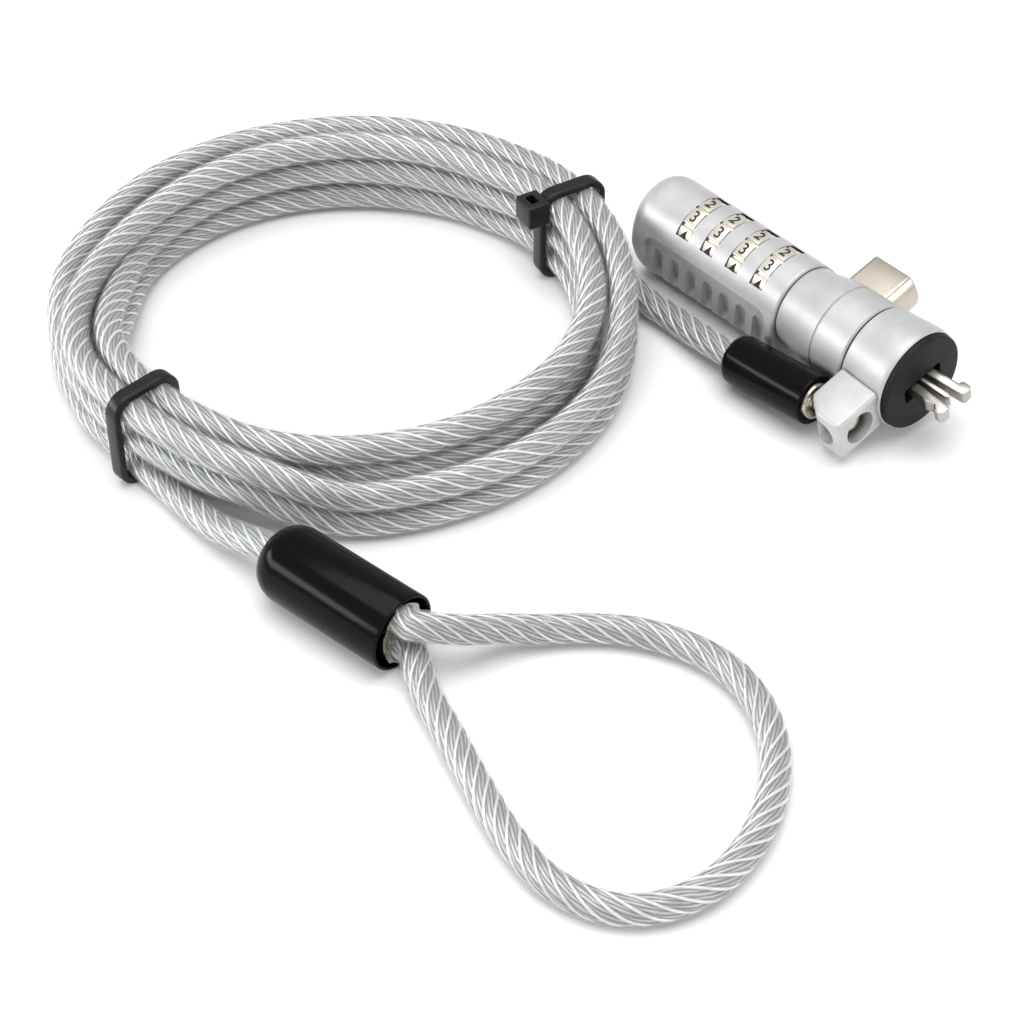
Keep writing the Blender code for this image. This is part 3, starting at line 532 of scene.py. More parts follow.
def turned(profile, segments=96, centre=(0.0, 0.0)):
    """Solid turned about a line along X. A profile that stays off the line closes on itself."""
    bm = bmesh.new()
    turns = np.arange(segments) * 2.0 * math.pi / segments
    circle = [(math.cos(turn), math.sin(turn)) for turn in turns]
    rings = []
    for x, radius in profile:
        if radius < ON_AXIS:
            rings.append([bm.verts.new((x, *centre))])
            continue
        ring = [(x, centre[0] + radius * y, centre[1] + radius * z) for y, z in circle]
        rings.append([bm.verts.new(point) for point in ring])
    pairs = list(zip(rings, rings[1:]))
    if len(rings[0]) > 1 and len(rings[-1]) > 1:
        pairs.append((rings[-1], rings[0]))
    for first, second in pairs:
        for index in range(segments):
            after = (index + 1) % segments
            if len(first) == 1 and len(second) == 1:
                break
            if len(first) == 1:
                bm.faces.new((first[0], second[index], second[after]))
            elif len(second) == 1:
                bm.faces.new((first[index], second[0], first[after]))
            else:
                bm.faces.new((first[index], second[index], second[after], first[after]))
    bmesh.ops.recalc_face_normals(bm, faces=bm.faces)
    return bm


def prism(outline, axis, low, high):
    """Solid between two planes, from an outline in the other two axes."""
    bm = bmesh.new()
    ends = []
    for level in (low, high):
        ring = []
        for a, b in outline:
            place = [a, b]
            place.insert(axis, level)
            ring.append(bm.verts.new(place))
        ends.append(ring)
        bm.faces.new(ring)
    for index in range(len(outline)):
        after = (index + 1) % len(outline)
        bm.faces.new((ends[0][index], ends[0][after], ends[1][after], ends[1][index]))
    bmesh.ops.recalc_face_normals(bm, faces=bm.faces)
    return bm


def box(low, high):
    outline = [(low[0], low[1]), (high[0], low[1]), (high[0], high[1]), (low[0], high[1])]
    return prism(outline, 2, low[2], high[2])


def soften(bm, width, segments=3, angle=35.0):
    """Rounds every edge that is sharper than the angle."""
    limit = math.radians(angle)
    edges = [edge for edge in bm.edges if len(edge.link_faces) == 2 and edge.calc_face_angle() > limit]
    bmesh.ops.bevel(
        bm,
        geom=edges,
        offset=width,
        segments=segments,
        profile=0.5,
        affect="EDGES",
        clamp_overlap=True,
    )
    return bm


def moved(bm, matrix):
    bmesh.ops.transform(bm, matrix=matrix, verts=bm.verts)
    return bm


def along_line(start, end):
    """Frame at the start whose X runs to the end."""
    turn = Vector((1.0, 0.0, 0.0)).rotation_difference(end - start).to_matrix().to_4x4()
    return Matrix.Translation(start) @ turn


def rod(start, end, radius, segments=32):
    """Plain cutter between two points."""
    start, end = Vector(start), Vector(end)
    length = (end - start).length
    bm = turned([(0.0, 0.0), (0.0, radius), (length, radius), (length, 0.0)], segments)
    return moved(bm, along_line(start, end))


def body_of(name, bm):
    mesh = bpy.data.meshes.new(name)
    bm.to_mesh(mesh)
    bm.free()
    obj = bpy.data.objects.new(name, mesh)
    bpy.context.scene.collection.objects.link(obj)
    return obj


def carve(target, tool, operation="DIFFERENCE"):
    """Applies a Boolean and throws the tool away."""
    tool = body_of("tool", tool)
    cutting = target.modifiers.new("carve", "BOOLEAN")
    cutting.operation = operation
    cutting.object = tool
    graph = bpy.context.evaluated_depsgraph_get()
    mesh = bpy.data.meshes.new_from_object(target.evaluated_get(graph))
    target.modifiers.clear()
    target.data = mesh
    bpy.data.objects.remove(tool)


def finish(obj, look, frame_matrix, body, nodes=(), sharp=38.0):
    """Puts a finished shape in the world and ties it to the CAD model."""
    obj.data.transform(Matrix.Scale(MM, 4) @ frame_matrix)
    obj.data.shade_smooth()
    obj.data.set_sharp_from_angle(angle=math.radians(sharp))
    obj.data.materials.clear()
    obj.data.materials.append(FINISHES[look])
    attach(obj, body)
    if nodes:
        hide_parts(*nodes)
    return obj


# ---------------------------------------------------------------- the cable
def catmull(points, per_span):
    """A fine line on the smooth curve through the points."""
    points = np.array(points, float)
    padded = np.vstack([2 * points[0] - points[1], points, 2 * points[-1] - points[-2]])
    t = (np.arange(per_span) / per_span)[:, None]
    spans = []
    for a, b, c, d in zip(padded, padded[1:], padded[2:], padded[3:]):
        bend, twist = 2 * a - 5 * b + 4 * c - d, 3 * b - a - 3 * c + d
        spans.append(0.5 * (2 * b + (c - a) * t + bend * t**2 + twist * t**3))
    return np.vstack([*spans, points[-1:]])


def even(line, step):
    """Points spaced evenly along a line, and how far along it each one is."""
    reach = np.concatenate([[0.0], np.cumsum(np.linalg.norm(np.diff(line, axis=0), axis=1))])
    at = np.linspace(0.0, reach[-1], max(2, round(reach[-1] / step)) + 1)
    return np.stack([np.interp(at, reach, line[:, k]) for k in range(3)], axis=1), at


def ease(value, start, end):
    """Smooth step from 0 at the start to 1 at the end."""
    t = min(1.0, max(0.0, (value - start) / (end - start)))
    return t * t * (3.0 - 2.0 * t)


def tie_hold(angle):
    """1 under a tie's strap, falling to 0 a little way from it."""
    nearest = min(abs((angle - tie + 180.0) % 360.0 - 180.0) for tie in TIE_ANGLES.values())
    return 1.0 - ease(nearest, *TIE_GRIP)


# Places in the bundle's section that one strand after another takes: radius and row.
SLOTS = [
    (COIL_OUTER_TURN, 0.0),
    (COIL_INNER_TURN, 0.0),
    (COIL_INNER_TURN, 1.0),
    (COIL_INNER_TURN, 2.0),
    (COIL_OUTER_TURN, 2.0),
    (COIL_OUTER_TURN, 1.0),
]


def coil_point(wound):
    """Centre of the cable at that many degrees of winding."""
    angle = wound % 360.0
    turn = int((wound - WIND_START) // 360.0)
    since = (wound - WIND_START) % 360.0 + WIND_START
    radius_a, row_a = SLOTS[turn % len(SLOTS)]
    radius_b, row_b = SLOTS[(turn + 1) % len(SLOTS)]
    part = ease(since, *CHANGE_OVER)
    radius = radius_a + (radius_b - radius_a) * part
    row = row_a + (row_b - row_a) * part
    middle = (COIL_INNER + COIL_OUTER) / 2.0
    if radius_a == radius_b:
        # A strand that changes rows passes beside one that changes columns.
        side = 1.0 if radius_a > middle else -1.0
        radius += side * PASS_BESIDE * math.sin(math.pi * part)
    if radius > middle:
        row -= ease(since, *SINK) * (1.0 - ease(since, *RISE))
    slack = math.sin(math.radians(angle * 2.0 + SLACK_PHASE * row)) ** 2 * (1.0 - tie_hold(angle))
    radius += OUTER_SLACK * slack if radius > middle else -INNER_SLACK * slack
    height = CABLE_RADIUS + COIL_ROW * row + (STRAP_THICKNESS + 0.05) * tie_hold(angle)
    turned_to = math.radians(angle)
    x = COIL_CENTRE.x + radius * math.cos(turned_to)
    y = COIL_CENTRE.y + radius * math.sin(turned_to)
    return (x, y, height)


def cable_route():
    """Fine line from the lock's ferrule round the coil and the loop to the loop's ferrule."""
    out = (LOCK_SLEEVE_END - BALL).normalized()
    lead = [BALL + out * CABLE_FROM, BALL + out * LOCK_FERRULE_TO, LOCK_SLEEVE_END, *LEAD_ROUTE, COIL_ENTRY]
    coil = [coil_point(wound) for wound in np.arange(WIND_FROM, WIND_TO, WIND_STEP)]
    along = (LOOP_SLEEVE_MOUTH - LOOP_SLEEVE_TIP).normalized()
    up = Vector((0.0, 0.0, LOOP_CABLE_SPACING / 2.0))
    beyond = along * 1.7
    # The outgoing run enters on the sleeve's axis and climbs to the upper of the ferrule's two bores.
    sleeve = [
        LOOP_SLEEVE_TIP - along * 2.0,
        LOOP_SLEEVE_TIP + along * 5.0,
        LOOP_SLEEVE_TIP + along * 13.0 + up * 0.75,
        LOOP_SLEEVE_TIP + along * 20.0 + up,
        LOOP_SLEEVE_MOUTH + up,
        LOOP_SLEEVE_MOUTH + beyond + up,
    ]
    back = [LOOP_SLEEVE_MOUTH + beyond - up, LOOP_SLEEVE_MOUTH - up, LOOP_SLEEVE_MOUTH - along * 12.0 - up]
    points = [*lead, *coil, *LEAD_OUT_ROUTE, *sleeve, *LOOP_ROUTE, *back]
    return catmull([tuple(point) for point in points], 8)


def side_axes(line):
    """Two directions across the line at each point, without added twist."""
    tangent = np.gradient(line, axis=0)
    tangent /= np.linalg.norm(tangent, axis=1)[:, None]
    normal = np.zeros_like(line)
    first = np.cross(tangent[0], (0.0, 0.0, 1.0))
    normal[0] = first / np.linalg.norm(first)
    for index in range(1, len(line)):
        carried = normal[index - 1] - tangent[index] * (normal[index - 1] @ tangent[index])
        normal[index] = carried / np.linalg.norm(carried)
    return normal, np.cross(tangent, normal)


def tube(line, axes, radius, sides):
    """Points and faces of a closed round tube along a line."""
    turn = np.arange(sides) * 2.0 * np.pi / sides
    ring = np.cos(turn)[None, :, None] * axes[0][:, None] + np.sin(turn)[None, :, None] * axes[1][:, None]
    points = (line[:, None] + radius * ring).reshape(-1, 3)
    last = (len(line) - 1) * sides
    faces = [
        (start + side, start + (side + 1) % sides, start + sides + (side + 1) % sides, start + sides + side)
        for start in range(0, last, sides)
        for side in range(sides)
    ]
    faces.append(tuple(reversed(range(sides))))
    faces.append(tuple(range(last, last + sides)))
    return points, faces


def mesh_object(name, points, faces):
    mesh = bpy.data.meshes.new(name)
    mesh.from_pydata([tuple(point) for point in points], [], faces)
    obj = bpy.data.objects.new(name, mesh)
    bpy.context.scene.collection.objects.link(obj)
    return obj


def make_strands(fine):
    """Six strands laid round a core, and bright lines filling the valleys between them as painted highlight
    bands.

    The map of each strand holds its wires: along it, and round it.
    """
    line, at = even(fine, STRAND_STEP)
    axes = side_axes(line)
    sides = STRAND_SIDES
    points, faces, wires = [], [], []
    for strand in range(STRAND_COUNT + 1):
        if strand < STRAND_COUNT:
            outward = spiral(at, axes, strand / STRAND_COUNT)
            made, made_faces = tube(line + STRAND_ORBIT * outward, axes, STRAND_RADIUS, sides)
        else:
            made, made_faces = tube(line, axes, CORE_RADIUS, sides)
        offset = sum(len(each) for each in points)
        points.append(made)
        for face in made_faces:
            faces.append(tuple(index + offset for index in face))
            for place, index in enumerate(face):
                lane = (index % sides) / sides
                if len(face) == 4 and place in (1, 2) and lane == 0.0:
                    lane = 1.0
                wires.append((at[index // sides] / WIRE_LAY, lane))
    # Painted highlight: thin bright lines in the valleys between the strands.
    lines, line_faces = [], []
    for valley in range(STRAND_COUNT):
        outward = spiral(at, axes, (valley + 0.5) / STRAND_COUNT)
        made, made_faces = tube(line + VALLEY_ORBIT * outward, axes, VALLEY_RADIUS, VALLEY_SIDES)
        offset = valley * len(made)
        lines.append(made)
        line_faces += [tuple(index + offset for index in face) for face in made_faces]
    highlight_lines = mesh_object("jacket_ridges", np.vstack(lines), line_faces)
    finish(highlight_lines, "painted_highlight", WORLD, "cable", sharp=80.0)
    obj = mesh_object("cable_strands", np.vstack(points), faces)
    layer = obj.data.uv_layers.new(name="wires")
    layer.data.foreach_set("uv", np.array(wires, dtype=np.float32).ravel())
    return [finish(obj, "strand_steel", WORLD, "cable", sharp=80.0), highlight_lines]


def spiral(at, axes, share):
    """Outward direction along the line for a strand that starts at that share of a turn."""
    turn = 2.0 * np.pi * (at / STRAND_LAY + share)
    return np.cos(turn)[:, None] * axes[0] + np.sin(turn)[:, None] * axes[1]


def make_cable():
    fine = cable_route()
    line, _ = even(fine, JACKET_STEP)
    points, faces = tube(line, side_axes(line), CABLE_RADIUS, JACKET_SIDES)
    jacket = mesh_object("cable_jacket", points, faces)
    replaced = ("cable_lead", "cable_coil", "cable_lead_out", "cable_loop")
    finish(jacket, "clear_jacket", WORLD, "cable", replaced, sharp=80.0)
    strands = make_strands(fine)


# ---------------------------------------------------------------- fittings on the cable
def make_lock_end():
    along = along_line(BALL, LOCK_SLEEVE_END)
    stud = arc((0.0, 0.0), BALL_RADIUS, 180.0, 28.0, 24)
    stud = [(x, max(0.0, radius)) for x, radius in stud]
    stud += [(STUD_FROM, STUD_RADIUS), (STUD_TO, STUD_RADIUS), (STUD_TO, 0.0)]
    ball = body_of("ball_stud", turned(stud, 48))
    finish(ball, "ferrule_nickel", along, "cable", ["swivel_ball"])
    rim, start = LOCK_FERRULE_RADIUS, LOCK_FERRULE_FROM
    profile = [
        (start, FERRULE_THROAT),
        (start, rim - 0.55),
        (start + 0.25, rim - 0.1),
        (start + 0.6, rim),
        (start + 0.9, rim - 0.35),
        (start + 1.2, rim),
        (start + 2.2, rim),
        (start + 2.6, rim - 0.3),
        (start + 3.0, rim),
        (LOCK_FERRULE_TO, rim),
        (LOCK_FERRULE_TO, FERRULE_BORE),
        (FERRULE_BORE_FROM, FERRULE_BORE),
        (FERRULE_BORE_FROM, FERRULE_THROAT),
    ]
    ferrule = body_of("lock_end_ferrule", turned(profile, 48))
    finish(ferrule, "ferrule_nickel", along, "cable", ["lock_ferrule"])
    radius, end = LOCK_SLEEVE_RADIUS, LOCK_SLEEVE_TO
    over_ferrule, over_cable = rim + 0.15, CABLE_RADIUS + 0.15
    mouth, nose = 0.35, 1.7
    profile = [(LOCK_SLEEVE_FROM, over_ferrule)]
    profile += arc((LOCK_SLEEVE_FROM + mouth, radius - mouth), mouth, 180.0, 90.0, 5)
    profile += arc((end - 2.6, radius - nose), nose, 90.0, 20.0, 10)
    profile += [(end - 0.7, over_cable), (LOCK_FERRULE_TO + 0.3, over_cable)]
    profile.append((LOCK_FERRULE_TO + 0.3, over_ferrule))
    sleeve = body_of("lock_end_sleeve", turned(profile, 64))
    finish(sleeve, "black_vinyl", along, "cable", ["lock_sleeve"])
    return [ball, ferrule, sleeve]


def make_loop_sleeve(along, length):
    """Dipped sleeve: domed tip round the cable, open mouth round the ferrule."""
    radius, inner = LOOP_SLEEVE_RADIUS, LOOP_SLEEVE_RADIUS - LOOP_SLEEVE_WALL
    over_cable = CABLE_RADIUS + 0.12
    dome, lip = 3.35, 0.3
    profile = [(0.3, over_cable)]
    profile += [(4.3 + x * 1.25, radius - dome + y) for x, y in arc((0, 0), dome, 172.0, 90.0, 16)]
    profile += arc((length - lip, radius - lip), lip, 90.0, -60.0, 6)
    profile += [(length - 0.6, inner), (LOOP_CHAMBER, inner), (LOOP_CHAMBER, over_cable)]
    sleeve = body_of("loop_end_sleeve", turned(profile, 96))
    for vertex in sleeve.data.vertices:
        # It narrows a little across its width between its ends.
        bow = math.sin(math.pi * min(1.0, max(0.0, vertex.co.x / length)))
        vertex.co.y *= 1.0 - 0.012 * bow
    return finish(sleeve, "black_vinyl", along, "cable", ["loop_sleeve"])


def make_loop_ferrule(along, length):
    """Crumpled oval ferrule with a bore for each run of the cable."""
    half = LOOP_CABLE_SPACING / 2.0
    bm = bmesh.new()
    stations = np.linspace(LOOP_CHAMBER + 0.6, length - 0.1, 30)
    half_width, half_height = LOOP_FERRULE_HALF
    outline = [(half_width * y, half_height * z) for y, z in arc((0.0, 0.0), 1.0, 0.0, 352.5, 47)]
    rings = []
    for x in stations:
        ring = []
        for index, (y, z) in enumerate(outline):
            lengthways = math.sin(index * 0.92 + 0.8 * math.sin(x * 0.7))
            fold = lengthways * math.sin(index * 0.41 + x * 0.35)
            grow = 1.0 + LOOP_CRUMPLE * fold
            ring.append(bm.verts.new((x + 0.3 * fold, y * grow, z * grow)))
        rings.append(ring)
    for first, second in zip(rings, rings[1:]):
        for index in range(len(outline)):
            after = (index + 1) % len(outline)
            bm.faces.new((first[index], first[after], second[after], second[index]))
    bm.faces.new(rings[0])
    bm.faces.new(rings[-1])
    bmesh.ops.recalc_face_normals(bm, faces=bm.faces)
    ferrule = body_of("loop_end_ferrule", bm)
    for z in (-half, half):
        hole = rod((stations[0] - 1.0, 0.0, z), (length + 1.0, 0.0, z), CABLE_RADIUS - 0.05, 40)
        carve(ferrule, hole)
    return finish(ferrule, "ferrule_nickel", along, "cable", ["loop_ferrule"], 60.0)


def make_loop_end():
    along = along_line(LOOP_SLEEVE_TIP, LOOP_SLEEVE_MOUTH)
    length = (LOOP_SLEEVE_MOUTH - LOOP_SLEEVE_TIP).length
    return [make_loop_sleeve(along, length), make_loop_ferrule(along, length)]


def make_tie(name, angle):
    """Strap round the bundle and the square block that locks it."""
    low, high = COIL_BOTTOM - TIE_ROOM, COIL_TOP + TIE_ROOM
    inner_low, inner_high = COIL_INNER - TIE_ROOM, COIL_OUTER + TIE_ROOM
    grow = STRAP_THICKNESS
    outer = rounded_box((inner_low - grow, low - grow), (inner_high + grow, high + grow), 3.4, 10)
    half = STRAP_WIDTH / 2.0
    strap = body_of(name + "_strap", soften(prism(outer, 1, -half, half), 0.3, 3))
    side = inner_low - 0.2
    base = low + TIE_BLOCK_RISE[name]
    outline = rounded_box((side - TIE_BLOCK_DEPTH, base), (side + 0.4, base + TIE_BLOCK_HEIGHT), 0.5)
    carve(strap, soften(prism(outline, 1, -half - 1.0, half + 1.0), 0.3, 3), "UNION")
    carve(strap, prism(rounded_box((inner_low, low), (inner_high, high), 2.3, 8), 1, -9.0, 9.0))
    mid = side - TIE_BLOCK_DEPTH / 2.0
    outline = rounded_box((mid - 0.75, -1.1), (mid + 0.75, 1.1), 0.3)
    carve(strap, prism(outline, 2, base + 2.6, base + TIE_BLOCK_HEIGHT + 1.0))
    turn = Matrix.Rotation(math.radians(angle), 4, "Z")
    finish(strap, "black_nylon", Matrix.Translation(COIL_CENTRE) @ turn, "cable", [name])
    return strap


# ---------------------------------------------------------------- the barrel
def quarter_round(share):
    """How far a quarter circle has fallen away at that share of its width."""
    return 1.0 - math.sqrt(1.0 - min(1.0, share) ** 2)


def skin_radius(x, angles):
    """Distance from the field's centre line to the plain body at one station."""
    share = (x - BODY_REAR) / (BODY_FRONT - BODY_REAR)
    bottom = BODY_BOTTOM + (BODY_FRONT_BOTTOM - BODY_BOTTOM) * share
    rear = max(0.0, BODY_REAR + REAR_ROUND - x) / REAR_ROUND
    front = max(0.0, x - BODY_FRONT + FRONT_ROUND) / FRONT_ROUND
    inset = REAR_INSET * quarter_round(rear) + FRONT_ROUND * quarter_round(front)
    t = np.radians(np.arange(0.0, 360.0, 0.75))
    power = 2.0 / BODY_SQUARENESS
    y = (BODY_HALF_WIDTH - inset) * np.sign(np.cos(t)) * np.abs(np.cos(t)) ** power
    top, low = BODY_TOP - BODY_WAIST_Z - inset, BODY_WAIST_Z - bottom - inset
    rise = np.sign(np.sin(t)) * np.abs(np.sin(t)) ** power
    z = BODY_WAIST_Z + np.where(np.sin(t) > 0.0, top, low) * rise
    y *= 1.0 - SHOULDER * np.clip((z + 1.0) / 4.0, 0.0, 1.0)
    around = np.degrees(np.arctan2(z - FIELD_CENTRE_Z, y)) % 360.0
    reach = np.hypot(y, z - FIELD_CENTRE_Z)
    order = np.argsort(around)
    return np.interp(angles, around[order], reach[order], period=360.0)


def box_distance(x, z, low, high, radius):
    """Signed distance to a rounded rectangle, negative inside."""
    qx = np.abs(x - (low[0] + high[0]) / 2.0) - (high[0] - low[0]) / 2.0 + radius
    qz = np.abs(z - (low[1] + high[1]) / 2.0) - (high[1] - low[1]) / 2.0 + radius
    return np.hypot(np.maximum(qx, 0.0), np.maximum(qz, 0.0)) + np.minimum(np.maximum(qx, qz), 0.0) - radius


def blend(distance, soft):
    """1 well inside, 0 well outside, with a soft shoulder."""
    t = np.clip(0.5 - distance / (2.0 * soft), 0.0, 1.0)
    return t * t * (3.0 - 2.0 * t)


def field_stations():
    """Places along the barrel, closer together where its ends are rounded."""
    rear = BODY_REAR + REAR_ROUND * (1.0 - np.cos(np.radians(np.arange(0.0, 90.0, 7.0))))
    sides = np.arange(BODY_REAR + REAR_ROUND, BODY_FRONT - FRONT_ROUND, FIELD_STEP)
    front = BODY_FRONT - FRONT_ROUND + FRONT_ROUND * np.sin(np.radians(np.arange(0.0, 91.0, 18.0)))
    return np.concatenate([rear, sides, front])


def field_angles():
    """Directions round the barrel, closer together on its flanks and closest at the grips' upper edge."""
    flank = np.concatenate([np.arange(-48.0, 1.5, 1.0), np.arange(1.5, 9.0, 0.5)])
    top_and_belly = np.concatenate([np.arange(9.6, 171.0, 2.0), np.arange(228.6, 312.0, 2.0)])
    return np.unique(np.concatenate([flank % 360.0, 180.0 - flank, top_and_belly]))


def body_skin():
    """Body with the finger grips and their flutes worked into its sides as a smooth field."""
    angles = field_angles()
    across, rise = np.abs(np.cos(np.radians(angles))), np.sin(np.radians(angles))
    # The grip's floor is upright below and leans outward above.
    upright = GRIP_FLOOR_Y / np.maximum(across, 1e-3)
    slope = (BODY_HALF_WIDTH + 0.2 - GRIP_FLOOR_Y) / GRIP_LEAN_HEIGHT
    lean_from = FIELD_CENTRE_Z - GRIP_LEAN_FROM
    leaning = (GRIP_FLOOR_Y - lean_from * slope) / np.maximum(across + slope * rise, 1e-3)
    floor = np.maximum(upright, leaning)
    grip_low, grip_high = (GRIP_REAR, BELOW_BODY), (GRIP_FRONT, GRIP_TOP_Z)
    bm = bmesh.new()
    rings = []
    for x in field_stations():
        plain_skin = skin_radius(x, angles)
        radius = plain_skin.copy()
        height = FIELD_CENTRE_Z + np.minimum(floor, plain_skin) * rise
        grip = blend(box_distance(x, height, grip_low, grip_high, GRIP_CORNER), EDGE_SOFT)
        radius -= np.maximum(0.0, plain_skin - floor) * grip
        for number in range(FLUTES):
            centre = GRIP_FRONT - FLUTE_MARGIN - FLUTE_PITCH * number
            low = (centre - FLUTE_WIDTH / 2.0, FLUTE_BOTTOM_Z)
            high = (centre + FLUTE_WIDTH / 2.0, FLUTE_TOP_Z)
            flute = blend(box_distance(x, height, low, high, FLUTE_WIDTH / 2.0 - 0.02), EDGE_SOFT)
            radius -= np.maximum(0.0, radius - upright * FLUTE_FLOOR_Y / GRIP_FLOOR_Y) * flute
        turns = np.radians(angles)
        ring = [(x, r * math.cos(t), FIELD_CENTRE_Z + r * math.sin(t)) for r, t in zip(radius, turns)]
        rings.append([bm.verts.new(point) for point in ring])
    for first, second in zip(rings, rings[1:]):
        for index in range(len(angles)):
            after = (index + 1) % len(angles)
            bm.faces.new((first[index], first[after], second[after], second[index]))
    bm.faces.new(rings[0])
    bm.faces.new(rings[-1])
    bmesh.ops.recalc_face_normals(bm, faces=bm.faces)
    return bm


def on_axis(x):
    """Point on the dials' axis."""
    return (x, 0.0, DIAL_AXIS_Z)


def make_barrel():
    skin = body_skin()
    shell = body_of("barrel_body", skin.copy())
    cover = body_of("belly_cover", skin)
    low = Vector((COVER_REAR, -12.0, -14.0))
    high = Vector((COVER_FRONT, 12.0, COVER_SPLIT_Z))
    carve(shell, box(low, high))
    seam = Vector((0.15, 0.0, 0.0))
    carve(cover, box(low + seam, high - seam - Vector((0.0, 0.0, 0.15))), "INTERSECT")
    carve(shell, rod(on_axis(PLUG_STEP - 0.1), on_axis(NECK_HALL), BARREL_BORE, 48))
    carve(shell, rod(on_axis(BODY_REAR - 1.0), on_axis(PLUG_FRONT), PLUG_RADIUS + 0.1, 64))
    carve(shell, rod((NECK_SOCKET_REAR, 0.0, 0.0), (NECK_HALL, 0.0, 0.0), NECK_PLUG_RADIUS + 0.15, 48))
    start = math.degrees(math.acos(-WINDOW_HALF / POCKET_RADIUS))
    pocket = [(WINDOW_HALF, 14.0), (-WINDOW_HALF, 14.0)]
    pocket += arc((0.0, DIAL_AXIS_Z), POCKET_RADIUS, start, 360.0 + 180.0 - start, 40)
    for x in DIAL_X:
        carve(shell, prism(pocket, 0, x - WINDOW_WIDTH / 2.0, x + WINDOW_WIDTH / 2.0))
    finish(shell, "satin_silver", HEAD, "head", ["barrel_shell"], 50.0)
    finish(cover, "satin_silver", HEAD, "head", ["bottom_cover"], 50.0)


def make_rear():
    rear, outer = BODY_REAR, BARREL_BORE - 0.12
    profile = [(rear, 1.55), (rear, 1.9), (rear + 0.1, 2.05), (rear + 0.1, 2.3), (rear, 2.45)]
    profile += [(rear, PLUG_RADIUS - 0.2), (rear + 0.06, PLUG_RADIUS - 0.06), (rear + 0.2, PLUG_RADIUS)]
    profile += [(PLUG_STEP, PLUG_RADIUS), (PLUG_STEP, outer), (PLUG_FRONT, outer), (PLUG_FRONT, 1.55)]
    cap = body_of("rear_plug", turned(profile, 72, (0.0, DIAL_AXIS_Z)))
    finish(cap, "satin_silver", HEAD, "head", ["rear_cap"])
    radius = SCREW_RADIUS
    profile = [(rear + 0.1, 0.0), (rear + 0.1, radius - 0.3), (rear + 0.18, radius - 0.1)]
    profile += [(rear + 0.4, radius), (SCREW_FRONT, radius), (SCREW_FRONT, 0.0)]
    screw = body_of("reset_screw_head", turned(profile, 40, (0.0, DIAL_AXIS_Z)))
    half = SCREW_SLOT / 2.0
    carve(screw, box((rear - 1.0, -half, DIAL_AXIS_Z - 2.0), (rear + 0.7, half, DIAL_AXIS_Z + 2.0)))
    finish(screw, "champagne_nickel", HEAD, "head", ["reset_screw"])


# ---------------------------------------------------------------- the number wheels
def wheel_outline():
    """Ten slightly domed facets with a narrow groove at each corner, as (y, z) from the axis."""
    points = []
    for facet in range(10):
        middle = DIAL_FIRST_FACET + 36.0 * facet
        for away in (-14.6, -13.2, -7.0, 0.0, 7.0, 13.2, 14.6):
            radius = DIAL_FLAT / math.cos(math.radians(away))
            radius += DIAL_DOME * (1.0 - (away / 15.0) ** 2)
            turn = math.radians(middle + away)
            points.append((radius * math.cos(turn), radius * math.sin(turn)))
        for away in (15.6, 20.4):
            turn = math.radians(middle + away)
            points.append((DIAL_GROOVE * math.cos(turn), DIAL_GROOVE * math.sin(turn)))
    return points


def digit_mesh(text):
    """Raised figure lying on the XY plane."""
    data = bpy.data.curves.new("digit", "FONT")
    data.body = text
    data.size = DIGIT_SIZE
    data.align_x = "CENTER"
    data.align_y = "CENTER"
    data.extrude = DIGIT_DEPTH
    data.offset = 0.01
    data.resolution_u = 6
    obj = bpy.data.objects.new("digit", data)
    bpy.context.scene.collection.objects.link(obj)
    graph = bpy.context.evaluated_depsgraph_get()
    mesh = bpy.data.meshes.new_from_object(obj.evaluated_get(graph))
    bpy.data.objects.remove(obj)
    return mesh


def make_wheels():
    outline = [(y, z + DIAL_AXIS_Z) for y, z in wheel_outline()]
    digits = [digit_mesh(str(number)) for number in range(10)]
    half = DIAL_WIDTH / 2.0
    for number, x in enumerate(DIAL_X, 1):
        disc = soften(prism(outline, 0, x - half, x + half), 0.1, 2, 60.0)
        wheel = body_of(f"number_wheel_{number}", disc)
        carve(wheel, rod(on_axis(x - 3.0), on_axis(x + 3.0), DIAL_BORE, 48))
        finish(wheel, "dial_nickel", HEAD, f"dial_{number}_wheel", [f"dial_{number}"], 25.0)
        bm = bmesh.new()
        for facet in range(10):
            digit = (DIAL_FIRST_DIGIT + facet) % 10
            around = math.radians(DIAL_FIRST_FACET + 36.0 * facet)
            normal = Vector((0.0, math.cos(around), math.sin(around)))
            up = Vector((0.0, math.sin(around), -math.cos(around)))
            place = Matrix((up.cross(normal), up, normal)).transposed().to_4x4()
            place.translation = Vector(on_axis(x)) + normal * (DIAL_FLAT + DIAL_DOME)
            mesh = digits[digit].copy()
            mesh.transform(place @ Matrix.Diagonal((DIGIT_NARROWING, 1.0, 1.0, 1.0)))
            bm.from_mesh(mesh)
        numerals = body_of(f"numerals_{number}", bm)
        finish(numerals, "numeral_enamel", HEAD, f"dial_{number}_wheel")


# ---------------------------------------------------------------- neck, collar, pad, button and jaws
def button_outline(grow=0.0, steps=24):
    radius, flat = BUTTON_RADIUS + grow, BUTTON_HALF_HEIGHT + grow
    reach = math.degrees(math.asin(flat / radius))
    right = arc((BUTTON_X, 0.0), radius, -reach, reach, steps)
    return right + arc((BUTTON_X, 0.0), radius, 180.0 - reach, 180.0 + reach, steps)


